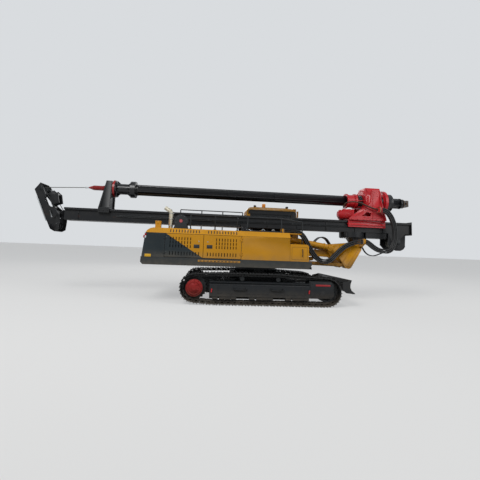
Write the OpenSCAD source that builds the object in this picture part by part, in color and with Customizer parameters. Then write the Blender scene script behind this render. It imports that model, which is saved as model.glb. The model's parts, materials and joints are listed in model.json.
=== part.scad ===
// Rotary piling rig on crawler tracks, in its transport pose with the mast laid back.
// +X is forward, +Y is the cab side, +Z is up, and the ground is Z = 0.

/* [Frame] */
// Distance from the middle of the whole machine to the slew axis.
slew_x = 790; // [600:5:1000]

/* [Tracks] */
// Length over one crawler track.
track_len = 4400; // [4000:10:4800]
// Width over both tracks, drawn in for transport.
track_w = 2800; // [2500:10:3100]
// Width of one track shoe.
shoe_w = 500; // [400:10:600]
// Radius of the shoe plates round the sprocket and the idler.
track_r = 372; // [340:1:400]
// Height of a shoe's lugs.
lug_h = 28; // [15:1:40]
// Thickness of a shoe plate.
shoe_t = 18; // [12:1:30]
// Depth of the chain links under the shoes.
link_h = 70; // [50:1:90]
// Number of shoes round one track.
shoe_count = 56; // [48:1:60]
// Rise of the drive sprocket over the idler.
sprocket_rise = 35; // [0:1:80]
// Rise of the top run over the carrier rollers.
carrier_rise = 70; // [30:1:110]
// Radius of the red hub cap of the final drive.
hub_r = 220; // [180:1:250]

/* [Blade] */
// Height of the blade's lower edge above the ground.
blade_z = 372; // [200:1:500]
// Height of the blade plate.
blade_h = 372; // [300:1:500]
// Width of the blade.
blade_w = 2700; // [2400:10:2900]

/* [Upper body] */
// Width of the upper body.
body_w = 2600; // [2400:10:2800]
// Distance of the body's rear face behind the slew axis.
body_rear = 3210; // [2900:10:3400]
// Distance of the right housing's front wall ahead of the slew axis.
body_front = 754; // [600:2:900]
// Height of the hood's top above the ground.
hood_z = 1975; // [1850:5:2100]
// Height of the housing's lower edge.
housing_z = 1200; // [1150:5:1250]
// Height of the deck's underside.
deck_z = 1000; // [960:5:1040]
// Thickness of the housing's walls and doors.
wall_t = 40; // [25:1:50]
// Half width of the trough that takes the boom and the mast cylinders.
trough_y = 492; // [480:1:520]

/* [Cab] */
// Length of the cab.
cab_l = 1720; // [1500:10:1800]
// Height of the cab's roof above the ground.
cab_z = 2890; // [2750:5:3000]
// Thickness of the cab's walls and door.
cab_t = 45; // [30:1:60]

/* [Boom] */
// Forward distance of the mast pivot from the slew axis.
pivot_x = 3360; // [3200:10:3500]
// Height of the mast pivot.
pivot_z = 1860; // [1800:5:1950]
// Length of the boom between its pins.
boom_l = 1680; // [1500:10:1900]

/* [Mast] */
// Distance of the mast's upper end behind the slew axis.
mast_rear = 5680; // [5400:10:5900]
// Distance of the mast's lower end ahead of the slew axis.
mast_front = 4950; // [4800:10:5300]
// Height of the mast's underside.
mast_z = 2145; // [2100:5:2200]
// Depth of the mast box.
mast_h = 358; // [320:2:420]
// Width of the mast box.
mast_w = 440; // [380:10:480]
// Width over the guide rails.
rail_w = 560; // [500:10:600]

/* [Fits] */
// Gap between pieces that turn or slide on each other.
fit = 0.3; // [0.1:0.1:1]

/* [Kelly] */
// Height of the kelly bar's axis above the ground.
kelly_z = 3155; // [3050:5:3250]
// Outside diameter of the kelly's outer tube over its drive keys.
kelly_d = 325; // [280:5:380]
// Height of the drive keys along the kelly's outer tube.
key_h = 16; // [8:1:25]
// Number of drive keys round the kelly.
key_count = 6; // [3:1:8]
// Radius of the kelly's spool discs.
spool_r = 250; // [200:5:260]
// Number of gussets behind each spool disc.
gusset_count = 8; // [4:1:12]

/* [Node to draw] */
// Which piece to draw.

/* [Hidden] */

// Loop of the track's centres, from the idler over the carriers to the sprocket and back
idler_z = track_r + lug_h;
idler_x = track_len / 2 - track_r - lug_h;
track_y = (track_w - shoe_w) / 2;
sprocket_z = idler_z + sprocket_rise;
carrier_x = [453, -534];
roller_x = [-1250, -758, -266, 226, 718, 1210];
hub = [[idler_x, idler_z], [carrier_x[0], idler_z + carrier_rise], [carrier_x[1], idler_z + carrier_rise],
    [-idler_x, sprocket_z], [roller_x[0] - 50, idler_z]];
hub_n = 5;
function hub_edge(i) = hub[(i + 1) % hub_n] - hub[i % hub_n];
function edge_angle(i) = atan2(hub_edge(i)[1], hub_edge(i)[0]);
function turn_at(i) = let (a = edge_angle(i) - edge_angle(i + hub_n - 1)) a - 360 * floor(a / 360);
function seg_len(k) = k % 2 == 0 ? norm(hub_edge(k / 2)) : track_r * turn_at((k + 1) / 2) * PI / 180;
function loop_len(k = 0) = k >= 2 * hub_n ? 0 : seg_len(k) + loop_len(k + 1);
function on_edge(s, off, i) = hub[i] + s * [cos(edge_angle(i)), sin(edge_angle(i))]
    + (track_r + off) * [sin(edge_angle(i)), -cos(edge_angle(i))];
function on_arc(s, off, i) = let (a = edge_angle(i + hub_n - 1) - 90 + s / track_r * 180 / PI)
    hub[i] + (track_r + off) * [cos(a), sin(a)];
function loop_at(s, off, k = 0) = (s <= seg_len(k) || k >= 2 * hub_n - 1)
    ? (k % 2 == 0 ? on_edge(s, off, k / 2) : on_arc(s, off, ((k + 1) / 2) % hub_n))
    : loop_at(s - seg_len(k), off, k + 1);
shoe_pitch = loop_len() / shoe_count;
// Outline of one shoe: share of the pitch, share of the lug height
shoe_shape = [[0.04, 0], [0.14, 1], [0.24, 0], [0.54, 0], [0.64, 1], [0.74, 0]];
shoe_line = [for (i = [0:shoe_count - 1]) for (p = shoe_shape) loop_at((i + p[0]) * shoe_pitch, p[1] * lug_h)];
shoe_back = [for (i = [0:shoe_count - 1]) loop_at(i * shoe_pitch, -shoe_t)];
link_front = [for (i = [0:shoe_count - 1]) loop_at(i * shoe_pitch, -shoe_t / 2)];
link_back = [for (i = [0:shoe_count - 1]) loop_at(i * shoe_pitch, -shoe_t - link_h)];
link_in = track_r - shoe_t - link_h;

// Pivots as [x, z] from the slew axis
boom_foot = [720, 1460];
boom_tip = [boom_foot[0] + boom_l, 1420];
link_foot = [1040, 1150];
link_tip = link_foot + boom_tip - boom_foot;
cyl_foot = [1150, 1150];
cyl_eye = [1900, 1300];
mast_pin = [pivot_x, pivot_z];
bracket_eye = [2200, 1633];
mast_lug = [-450, 2060];
blade_pin = [1080, 470];
tow_x = -1085;
blade_cyl_foot = [1040, 700];
blade_cyl_eye = [2200, 620];
head_pin = [-5850, 2270];
boom_pin_r = 38;
link_pin_r = 32;
boom_cyl_pin_r = 28;
blade_pin_r = 30;
blade_cyl_pin_r = 22;
mast_cyl_pin_r = 32;
head_pin_r = 32;
sheave_pin_r = 20;
drum_shaft_r = 30;
mast_top = mast_z + mast_h;
deck_top = deck_z + 60;
ring_low = 900;
ring_top = deck_z - 12;
ring_r = 620;
side_y = body_w / 2;
boom_y = 215;
plate_in = 240;
plate_out = 280;
cylinder_y = 380;
door_x = [-2630, -1612, -593];
door_z = [1212, 1830];
hinge_z = [1300, 1680];
strip_z = 1835;
cab_x = -270;
cab_in = 505;
cab_out = 1350;
cab_low = deck_top;
cab_front = cab_x + cab_l;
chair_y = (cab_in + cab_out) / 2;
console_y = [cab_in + 60, cab_in + 160];
chair_half = chair_y - console_y[1] - 22;
pane_top = cab_z - 230;
door_top = cab_z - 190;
counterweight_x = -body_rear + 630;
drum_at = [-2260, 2190];
aux_at = [4450, 1870];
bore_r = kelly_d / 2 + 14;
guide_pin_r = 84;
// Hose bundles: their section, their clamps, and their routes as [x, z]
hose_y = -570;
hose_w = 120;
hose_h = 140;
hose_start = 700;
hose_clamp = 3180;
hose_end_z = 1840;
drive_hose_x = 3780;
drive_hose_z = 2840;
hose_top = hood_z + hose_h / 2 + 1;
loop_rear = [[hose_start, hose_top], [850, hose_top], [1000, hose_top], [1130, hose_top], [1250, 2000], [1345, 1900], [1440, 1745],
    [1535, 1570], [1650, 1400], [1780, 1275], [1890, 1220], [1950, 1210], [2000, 1210]];
loop_front = [[2000, 1210], [2050, 1210], [2170, 1265], [2300, 1390], [2450, 1540], [2600, 1660], [2780, 1760], [2960, 1815], [3100, hose_end_z], [hose_clamp, hose_end_z]];
drop_lower = [[hose_clamp + 60, hose_end_z], [3290, hose_end_z], [3390, 1780], [3510, 1690], [3650, 1615], [3790, 1585], [3850, 1580], [3900, 1580]];
drop_upper = [[3900, 1580], [3950, 1580], [4050, 1630], [4140, 1750], [4195, 1930], [4210, 2150], [4175, 2390], [4100, 2600], [4000, 2745], [3890, 2820], [3830, drive_hose_z], [drive_hose_x, drive_hose_z]];
winch_hose_x = 3215;
winch_hose_end = 4330;
winch_route = [[winch_hose_x, 1670], [3250, 1670], [3310, 1570], [3400, 1480], [3510, 1437], [3640, 1435], [3800, 1490], [3960, 1560], [4100, 1640], [4220, 1725], [4290, 1760], [winch_hose_end, 1760]];
boom_hose_x = 1700;
boom_hose_end = 2350;
boom_route = [[boom_hose_x, 1610], [1740, 1610], [1800, 1700], [1880, 1840], [1990, 1930], [2110, 1950], [2220, 1905], [2300, 1810], [boom_hose_end, 1720], [boom_hose_end, 1680]];

// Prism of an outline given as [x, z], between two widths
module prism_y(points, y0, y1) {
    translate([0, y1, 0]) rotate([90, 0, 0]) linear_extrude(y1 - y0) polygon(points);
}
// Prism of an outline given as [y, z], between two lengths
module prism_x(points, x0, x1) {
    translate([x0, 0, 0]) rotate([90, 0, 90]) linear_extrude(x1 - x0) polygon(points);
}
module box(x0, x1, y0, y1, z0, z1) {
    translate([x0, y0, z0]) cube([x1 - x0, y1 - y0, z1 - z0]);
}
module shaft_y(at, r, y0, y1, n = 24) {
    translate([at[0], y1, at[1]]) rotate([90, 0, 0]) cylinder(r = r, h = y1 - y0, $fn = n);
}
module shaft_x(x0, x1, y, z, r, n = 32) {
    translate([x0, y, z]) rotate([0, 90, 0]) cylinder(r = r, h = x1 - x0, $fn = n);
}
// Round bar from a toward b at one width, starting and ending at given distances from a
module bar(a, b, y, r, d0, d1, n = 24) {
    d = b - a;
    translate([a[0], y, a[1]]) rotate([0, atan2(d[0], d[1]), 0]) translate([0, 0, d0]) cylinder(r = r, h = d1 - d0, $fn = n);
}
module both_sides() {
    children();
    mirror([0, 1, 0]) children();
}
// Hinge on a panel's outer face at width y: the pin with its knuckles on the wall, from height z
hinge_r = 14;
hinge_pin_r = 8;
module hinge_leaf(x, y, z0, z1, way) {
    box(min(x, x + way * 44), max(x, x + way * 44), min(y, y + sign(y) * 8), max(y, y + sign(y) * 8), z0, z1);
}
module hinge_pin(x, y, z, wall_way) {
    c = y + sign(y) * (hinge_r + 1);
    translate([x, c, z]) cylinder(r = hinge_pin_r, h = 90, $fn = 20);
    for (k = [0, 60]) {
        translate([x, c, z + k]) cylinder(r = hinge_r, h = 30, $fn = 20);
        hinge_leaf(x, y, z + k, z + k + 30, wall_way);
    }
}
// The knuckle between them on the door
module hinge_knuckle(x, y, z, door_way) {
    c = y + sign(y) * (hinge_r + 1);
    difference() {
        union() {
            translate([x, c, z + 30 + fit]) cylinder(r = hinge_r, h = 30 - 2 * fit, $fn = 20);
            hinge_leaf(x, y, z + 30 + fit, z + 60 - fit, door_way);
        }
        translate([x, c, z]) cylinder(r = hinge_pin_r + fit, h = 90, $fn = 20);
    }
}
// Hose of an oval section, w wide and h high, swept in one upright plane along a route of [x, z]
function hose_way(route, i) = let (a = route[max(i - 1, 0)], b = route[min(i + 1, len(route) - 1)]) (b - a) / norm(b - a);
function hose_ring(route, i, y, w, h, n) = let (d = hose_way(route, i))
    [for (k = [0:n - 1]) let (a = 360 * k / n, c = cos(a) * w / 2, u = sin(a) * h / 2) [route[i][0] - d[1] * u, y + c, route[i][1] + d[0] * u]];
module hose(route, y, w, h, n = 8) {
    m = len(route);
    sides = [for (i = [0:m - 2]) for (k = [0:n - 1]) [i * n + k, (i + 1) * n + k, (i + 1) * n + (k + 1) % n, i * n + (k + 1) % n]];
    polyhedron([for (i = [0:m - 1]) each hose_ring(route, i, y, w, h, n)],
        concat([[for (k = [n - 1:-1:0]) k]], [for (f = sides) [f[3], f[2], f[1], f[0]]], [[for (k = [0:n - 1]) (m - 1) * n + k]]));
}
module at_slew() {
    translate([slew_x, 0, 0]) children();
}

// Crawler tracks and the frames that carry them
module track_loop(side) {
    c = side * track_y;
    n = len(shoe_line);
    m = len(shoe_back);
    translate([0, c + shoe_w / 2, 0]) rotate([90, 0, 0]) linear_extrude(shoe_w)
        polygon(concat(shoe_line, shoe_back), [[for (i = [0:n - 1]) i], [for (i = [0:m - 1]) n + i]]);
    for (d = [-70, 70])
        translate([0, c + d + 30, 0]) rotate([90, 0, 0]) linear_extrude(60)
            polygon(concat(link_front, link_back), [[for (i = [0:m - 1]) i], [for (i = [0:m - 1]) m + i]]);
}
module track_right() {
    color("#1b1d1f") at_slew() track_loop(-1);
}
module track_left() {
    color("#1b1d1f") at_slew() track_loop(1);
}
frame_half = 185;
frame_wall = 60;
well = frame_half - frame_wall;
frame_section = [[-frame_half, 225], [-well, 225], [-well, 330], [well, 330], [well, 225], [frame_half, 225], [frame_half, 530],
    [115, 625], [-115, 625], [-frame_half, 600]];
yoke_line = [[1290, 225], [1900, 225], [1980, 300], [1980, 600], [1900, 690], [1290, 690]];
roller_z = idler_z - link_in + 86;
carrier_z = idler_z + carrier_rise + link_in - 62;
module at_track() {
    at_slew() both_sides() translate([0, track_y, 0]) children();
}
module track_frames() {
    color("#2a2f33") at_track() {
        prism_x(frame_section, -1400, 1480);
        prism_y(yoke_line, 130, 190);
        prism_y(yoke_line, -frame_half, -130);
        for (x = roller_x) for (y = [-frame_half, well]) box(x - 75, x + 75, y, y + frame_wall, 160, 226);
        for (x = carrier_x) box(x - 45, x + 45, -135, -95, 590, 740);
        box(-1900, -1395, -frame_half, -110, 300, 590);
    }
}
module sprockets() {
    teeth = 21;
    color("#1b1d1f") at_track() {
        translate([-idler_x, 32, sprocket_z]) rotate([90, 0, 0]) linear_extrude(64)
            polygon([for (i = [0:teeth * 4 - 1]) let (r = (i % 4 < 2) ? 272 : 244, a = i * 90 / teeth) r * [cos(a), sin(a)]]);
        shaft_y([-idler_x, sprocket_z], 235, 20, 140, 40);
        shaft_y([-idler_x, sprocket_z], 190, -110, -20, 32);
    }
}
module final_drives() {
    color("#7a1c1a") at_track() {
        shaft_y([-idler_x, sprocket_z], hub_r, 140, 220, 48);
        shaft_y([-idler_x, sprocket_z], hub_r - 30, 215, 235, 48);
    }
}
// The chain's inner edges are chords, so the idler's rim stays inside their middles
idler_rim = link_in * cos(90 * shoe_pitch / (PI * track_r)) - fit;
module idlers() {
    color("#24272a") at_track() {
        translate([idler_x, 0, idler_z]) rotate([90, 0, 0]) rotate_extrude($fn = 48)
            polygon([[0, -80], [90, -80], [90, -35], [225, -30], [225, -90], [idler_rim, -90], [idler_rim, 90], [225, 90], [225, 30], [90, 35], [90, 80], [0, 80]]);
        shaft_y([idler_x, idler_z], 60, -130, 130, 24);
    }
}
module rollers() {
    color("#24272a") at_track() {
        for (x = roller_x) {
            shaft_y([x, roller_z], 84, -110, 110, 24);
            shaft_y([x, roller_z], 45, -well, well, 16);
        }
        for (x = carrier_x) shaft_y([x, carrier_z], 60, -95, 100, 24);
    }
}

// Undercarriage centre, slew ring and blade
module carbody() {
    color("#2a2f33") at_slew() {
        box(-760, 760, -620, 620, 400, 840);
        for (x = [-1000, 640]) box(x, x + 360, -track_y + frame_half, track_y - frame_half, 420, 680);
        translate([0, 0, ring_low - 65]) cylinder(r = ring_r + 20, h = 65, $fn = 48);
        difference() {
            translate([0, 0, 500]) linear_extrude(60) polygon([[-990, -130], [-990, 130], [-1100, 90], [-1150, 50], [-1150, -50], [-1100, -90]]);
            translate([tow_x, 0, 490]) cylinder(r = 30, h = 80, $fn = 24);
        }
        both_sides() {
            prism_y([[990, 400], [1130, 400], [1150, 470], [1130, 530], [990, 600]], 345, 385);
            prism_y([[990, 400], [1130, 400], [1150, 470], [1130, 530], [990, 600]], 515, 555);
            for (y = [128, 256]) prism_y([[940, 640], [1000, 640], [1090, 680], [1090, 740], [1000, 760], [740, 760], [740, 640]], y, y + 16);
            shaft_y(blade_pin, blade_pin_r, 340, 560, 20);
            shaft_y(blade_cyl_foot, blade_cyl_pin_r, 124, 276, 16);
        }
    }
}
module slew_ring() {
    color("#303538") at_slew() difference() {
        translate([0, 0, ring_low]) cylinder(r = ring_r, h = ring_top - ring_low, $fn = 48);
        translate([0, 0, ring_low - 10]) cylinder(r = ring_r - 140, h = 110, $fn = 48);
    }
}
blade_line = [[2480, blade_z + blade_h], [2440, blade_z + 250], [2438, blade_z + 170], [2475, blade_z + 90],
    [2560, blade_z + 30], [2572, blade_z], [2500, blade_z], [2420, blade_z + 60], [2400, blade_z + 170], [2402, blade_z + 250], [2430, blade_z + blade_h]];
blade_end = [[2480, blade_z + blade_h], [2440, blade_z + 250], [2438, blade_z + 170], [2475, blade_z + 90],
    [2560, blade_z + 30], [2572, blade_z], [2330, blade_z + 20], [2225, blade_z + 100], [2225, blade_z + 310]];
blade_arm = [[1045, 430], [1120, 420], [2425, 440], [2425, 660], [2250, 660], [1120, 525], [1045, 515]];
module blade() {
    color("#1b1d1f") at_slew() difference() {
        union() {
            prism_y(blade_line, -blade_w / 2, blade_w / 2);
            both_sides() {
                prism_y(blade_end, blade_w / 2 - 24, blade_w / 2);
                prism_y(blade_arm, 392, 508);
                prism_y([[2160, 590], [2420, 560], [2420, 700], [2200, 675], [2160, 650]], 130, 155);
                prism_y([[2160, 590], [2420, 560], [2420, 700], [2200, 675], [2160, 650]], 245, 270);
            }
            box(2330, 2420, -blade_w / 2 + 20, blade_w / 2 - 20, 500, 620);
        }
        both_sides() {
            shaft_y(blade_pin, blade_pin_r + fit, 380, 520, 20);
        }
    }
}
blade_cyl_len = norm(blade_cyl_eye - blade_cyl_foot);
module blade_cylinders() {
    color("#24272a") at_slew() both_sides() difference() {
        union() {
            bar(blade_cyl_foot, blade_cyl_eye, 200, 50, 30, 700);
            shaft_y(blade_cyl_foot, 38, 166, 234, 24);
        }
        shaft_y(blade_cyl_foot, blade_cyl_pin_r + fit, 160, 240, 16);
        bar(blade_cyl_foot, blade_cyl_eye, 200, 30 + fit, 120, 720);
    }
}
module blade_rods() {
    color("#b9bcc0") at_slew() both_sides() {
        bar(blade_cyl_foot, blade_cyl_eye, 200, 30, 140, blade_cyl_len - 30);
        shaft_y(blade_cyl_eye, 40, 162, 238, 24);
    }
}

// Upper body
skirt_line = [[counterweight_x, deck_z], [1290, deck_z], [1365, deck_z + 110], [1365, housing_z], [counterweight_x, housing_z]];
module deck() {
    color("#2b3336") at_slew() {
        box(counterweight_x, 1365, -side_y + 10, side_y - 10, deck_z, deck_top);
        box(-body_rear + 74, counterweight_x + 5, -side_y + 200, side_y - 200, deck_z, deck_top);
        prism_y(skirt_line, -side_y, -side_y + 40);
        box(counterweight_x, cab_x - 10, side_y - 40, side_y, deck_z, housing_z);
        box(cab_x - 20, 1290, side_y - 40, side_y, deck_z, deck_top);
        both_sides() {
            box(-1500, 1340, 470, 500, deck_top - 10, housing_z);
            prism_y([[560, 1055], [900, 1055], [800, 1520], [700, 1540], [640, 1500]], 240, 280);
            prism_y([[920, 1055], [1160, 1055], [1110, 1200], [1040, 1220], [980, 1200]], 432, 472);
            prism_y([[920, 1055], [1160, 1055], [1110, 1200], [1040, 1220], [980, 1200]], 290, 322);
            prism_y([[1060, 1055], [1240, 1055], [1220, 1190], [1150, 1215], [1090, 1190]], 92, 125);
            shaft_y(link_foot, link_pin_r, 285, 471, 20);
        }
        shaft_y(boom_foot, boom_pin_r, -285, 285, 24);
        shaft_y(cyl_foot, boom_cyl_pin_r, -120, 120, 20);
        translate([0, 0, ring_top + fit]) cylinder(r = ring_r + 20, h = deck_top - ring_top - 10, $fn = 48);
    }
}
module counterweight() {
    color("#2b3336") at_slew() {
        both_sides() prism_y([[-body_rear - 20, deck_top], [-body_rear + 40, deck_z], [counterweight_x, deck_z], [counterweight_x, housing_z], [-body_rear - 20, housing_z]], side_y - 200, side_y);
        box(-body_rear - 20, -body_rear + 74, -side_y + 190, side_y - 190, deck_z + 4, housing_z);
    }
}
// Outline of the housing seen from above, drawn in by t
function plan(t) = [[-body_rear + t, -side_y + t], [body_front - t, -side_y + t], [body_front - t, -trough_y - t],
    [-700 - t, -trough_y - t], [-700 - t, trough_y + t], [-300 - t, trough_y + t], [-300 - t, side_y - t], [-body_rear + t, side_y - t]];
module housing_form(t) {
    intersection() {
        translate([0, 0, housing_z - t]) linear_extrude(hood_z - housing_z) polygon(plan(t));
        prism_x([[-side_y + t, 1000], [-side_y + t, strip_z], [-side_y + chamfer_w + t, hood_z - t], [side_y - chamfer_w - t, hood_z - t], [side_y - t, strip_z], [side_y - t, 1000]], -4000, 2000);
        prism_y([[-body_rear + t, housing_z - t], [-body_rear + 60 + t, 1800], [-body_rear + 100 + t, 1900 - t / 2], [-body_rear + 170 + t, 1955 - t], [-body_rear + 250 + t, hood_z - t], [1000, hood_z - t], [1000, housing_z - t]], -2000, 2000);
    }
}
// Slanted louvres along both chamfers, above the side doors
chamfer_w = 110;
chamfer = [chamfer_w, hood_z - strip_z];
chamfer_in = [chamfer[1], -chamfer[0]] / norm(chamfer);
function on_chamfer(share, depth) = [-side_y, strip_z] + share * chamfer + depth * chamfer_in;
louvre_cut = [on_chamfer(0.2, -5), on_chamfer(0.8, -5), on_chamfer(0.8, 12), on_chamfer(0.2, 12)];
louvre_x = [-2510, -1500];
louvre_pitch = 76;
module hood() {
    color("#a8701c") at_slew() difference() {
        housing_form(0);
        housing_form(wall_t);
        both_sides() box(door_x[0], door_x[2], side_y - wall_t - 20, side_y + 20, door_z[0] - 40, door_z[1]);
        both_sides() for (x0 = louvre_x) for (i = [0:10]) prism_x(louvre_cut, x0 + i * louvre_pitch, x0 + i * louvre_pitch + 26);
    }
    color("#a8701c") at_slew() {
        for (side = [-1, 1]) for (z = hinge_z) {
            hinge_pin(door_x[0] + 3, side * side_y, z, -1);
            hinge_pin(door_x[2] - 3, side * side_y, z, 1);
        }
        box(body_front - 1, 1120, -1100, -500, hood_z - 25, hood_z);
        box(hose_start - 60, hose_start, hose_y - 68, hose_y + 68, hood_z, hood_z + hose_h + 8);
    }
}
// Rows of slots in a side door: lower edge, upper edge, number of slots
vent_rows = [[1262, 1357, 11], [1462, 1540, 8], [1562, 1640, 8], [1662, 1740, 8]];
// Side door with louvres; x0 is its rear edge and hinge_way points from its hinge to its middle
module side_door(x0, x1, side, hinge_way) {
    y0 = side > 0 ? side_y - wall_t : -side_y;
    difference() {
        box(x0 + 6, x1 - 6, y0, y0 + wall_t, door_z[0], door_z[1] - 6);
        for (row = vent_rows) for (i = [0:row[2] - 1])
            let (s = hinge_way > 0 ? x0 + 130 + i * louvre_pitch : x1 - 152 - i * louvre_pitch) box(s, s + 22, y0 - 5, y0 + wall_t + 5, row[0], row[1]);
    }
    for (z = hinge_z) hinge_knuckle(hinge_way > 0 ? x0 + 3 : x1 - 3, side * side_y, z, hinge_way);
}
module door_right_rear() {
    color("#a8701c") at_slew() side_door(door_x[0], door_x[1], -1, 1);
}
module door_right_front() {
    color("#a8701c") at_slew() side_door(door_x[1], door_x[2], -1, -1);
}
module door_left_rear() {
    color("#a8701c") at_slew() side_door(door_x[0], door_x[1], 1, 1);
}
module door_left_front() {
    color("#a8701c") at_slew() side_door(door_x[1], door_x[2], 1, -1);
}
module engine() {
    color("#54585a") at_slew() box(-2400, -1300, -430, 430, deck_top, 1780);
}
module tool_box() {
    color("#a8701c") at_slew() prism_y([[body_front, housing_z], [1277, housing_z], [1277, 1600], [1262, 1645], [1222, tool_box_z], [body_front, tool_box_z]], -side_y, -570);
}
tool_box_z = 1670;
// Handrails: their posts, and the walkway beside the near one
rail_x = [-1985, -1320, -710, -423, 525];
rail_y = 1150;
rail_r = 17;
rail_top = 2370;
rail_end = [1120, 2300];
far_rail_x = [-2470, -1750, -1030, -340];
far_rail_top = 2750;
module handrails() {
    color("#202427") at_slew() {
        for (x = rail_x) translate([x, -rail_y, hood_z]) cylinder(r = rail_r, h = rail_top - hood_z, $fn = 12);
        shaft_x(rail_x[0], rail_x[4], -rail_y, rail_top, rail_r, 12);
        bar([rail_x[4], rail_top], rail_end, -rail_y, rail_r, 0, norm(rail_end - [rail_x[4], rail_top]), 12);
        translate([rail_end[0], -rail_y, tool_box_z]) cylinder(r = rail_r, h = rail_end[1] - tool_box_z, $fn = 12);
        for (x = far_rail_x) translate([x, rail_y, hood_z]) cylinder(r = rail_r, h = far_rail_top - hood_z, $fn = 12);
        for (z = [far_rail_top - 210, far_rail_top]) shaft_x(far_rail_x[0], far_rail_x[3], rail_y, z, rail_r, 12);
        box(-600, 556, -rail_y - 30, -560, hood_z, hood_z + 30);
    }
}
module exhaust() {
    color("#b8b6ae") at_slew() {
        translate([-2550, -900, hood_z]) cylinder(r = 55, h = 478, $fn = 24);
        translate([-2550, -900, 2450]) rotate([0, -60, 0]) cylinder(r = 55, h = 200, $fn = 24);
    }
}
module air_box() {
    color("#a8701c") at_slew() box(-2955, -2805, -980, -830, hood_z, 2170);
}
module winch_frame() {
    color("#24272a") at_slew() {
        for (y = [-1040, -520]) prism_y([[drum_at[0] - 200, hood_z], [drum_at[0] + 200, hood_z], [drum_at[0] + 120, drum_at[1]], [drum_at[0], drum_at[1] + 100], [drum_at[0] - 120, drum_at[1]]], y, y + 25);
        box(drum_at[0] - 200, drum_at[0] + 200, -1040, -495, hood_z, hood_z + 12);
        shaft_y(drum_at, drum_shaft_r, -1040, -495, 20);
    }
}
module winch_drum() {
    color("#303538") at_slew() difference() {
        union() {
            shaft_y(drum_at, 130, -1005, -530, 32);
            shaft_y(drum_at, 185, -1005, -985, 40);
            shaft_y(drum_at, 185, -550, -530, 40);
        }
        shaft_y(drum_at, drum_shaft_r + fit, -1010, -520, 20);
    }
}

// Cab on the left
function cab_line(t) = [[cab_x + t, cab_low + t], [cab_x + t, cab_z - 130], [cab_x + 60 + t / 2, cab_z - 40 - t / 2], [cab_x + 160, cab_z - t],
    [cab_front - 260, cab_z - t], [cab_front - 110 - t / 2, cab_z - 50 - t / 2], [cab_front - 60 - t, cab_z - 150],
    [cab_front - t, 2000], [cab_front - t, 1500], [cab_front - 90 - t, cab_low + t]];
module cab_form(t) {
    intersection() {
        prism_y(cab_line(t), cab_in + t, cab_out - t);
        prism_x([[cab_in + t, cab_low - 10], [cab_in + t, cab_z - 90], [cab_in + 70 + t / 2, cab_z - 10 - t], [cab_out - 70 - t / 2, cab_z - 10 - t], [cab_out - t, cab_z - 90], [cab_out - t, cab_low - 10]], -1000, 2500);
    }
}
door_rear = cab_x + 510;
door_front = cab_front - 210;
cab_door_line = [[door_rear, 1150], [door_front - 90, 1150], [door_front, 1500], [door_front, 2300], [door_front - 50, door_top], [door_rear, door_top]];
cab_door_hole = [[door_rear - 8, 1142], [door_front - 84, 1142], [door_front + 8, 1499], [door_front + 8, 2301], [door_front - 43, door_top + 8], [door_rear - 8, door_top + 8]];
cab_door_pane = [[door_rear + 80, 1750], [door_front - 80, 1750], [door_front - 80, 2290], [door_front - 120, door_top - 80], [door_rear + 80, door_top - 80]];
cab_hinge_z = [1280, 2480];
side_pane = [[cab_x + 120, 1800], [cab_front - 200, 1800], [cab_front - 200, 2320], [cab_front - 240, pane_top], [cab_x + 120, pane_top]];
module cab() {
    color("#a8701c") at_slew() difference() {
        cab_form(0);
        cab_form(cab_t);
        prism_y(cab_door_hole, cab_out - cab_t - 10, cab_out + 10);
        prism_y(side_pane, cab_in - 10, cab_in + cab_t + 10);
        box(cab_x - 10, cab_x + cab_t + 10, cab_in + 110, cab_out - 110, 1900, pane_top - 20);
        box(cab_front - 140, cab_front + 10, cab_in + 90, cab_out - 90, 1560, pane_top + 20);
        box(cab_x + 80, door_rear - 58, cab_out - cab_t - 10, cab_out + 10, 1850, 2460);
    }
    color("#a8701c") at_slew() {
        for (z = cab_hinge_z) hinge_pin(door_rear - 4, cab_out, z, -1);
        for (y = [cab_in + 110, cab_out - 230]) box(cab_front - 150, cab_front - 40, y, y + 120, cab_z - 75, cab_z - 5);
        for (y = [cab_in + 15, cab_out - 125]) {
            box(cab_front - 80, cab_front + 10, y + 45, y + 65, cab_z - 110, cab_z - 90);
            box(cab_front - 10, cab_front + 14, y, y + 110, cab_z - 290, cab_z - 85);
        }
    }
}
module cab_door() {
    color("#a8701c") at_slew() {
        difference() {
            prism_y(cab_door_line, cab_out - cab_t, cab_out);
            prism_y(cab_door_pane, cab_out - cab_t - 10, cab_out + 10);
        }
        for (z = cab_hinge_z) hinge_knuckle(door_rear - 4, cab_out, z, 1);
    }
}
module cab_glass() {
    color("#2c3a40") at_slew() {
        prism_y(side_pane, cab_in + 15, cab_in + 23);
        box(cab_x + 15, cab_x + 23, cab_in + 110, cab_out - 110, 1900, pane_top - 20);
        box(cab_x + 80, door_rear - 58, cab_out - 23, cab_out - 15, 1850, 2460);
        prism_y([[cab_front - 20, 1560], [cab_front - 12, 1560], [cab_front - 12, 2000], [cab_front - 68, pane_top + 20], [cab_front - 76, pane_top + 20], [cab_front - 20, 2000]], cab_in + 90, cab_out - 90);
    }
}
module door_glass() {
    color("#2c3a40") at_slew() prism_y(cab_door_pane, cab_out - 23, cab_out - 15);
}
module operator_chair() {
    x = cab_x + 460;
    color("#202224") at_slew() {
        box(x, x + 510, chair_y - chair_half, chair_y + chair_half, 1540, 1660);
        prism_y([[x - 30, 1600], [x + 80, 1600], [x + 10, 2280], [x - 100, 2280]], chair_y - chair_half + 10, chair_y + chair_half - 10);
        box(x + 80, x + 440, chair_y - chair_half + 60, chair_y + chair_half - 60, cab_low + cab_t, 1545);
    }
}
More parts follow.
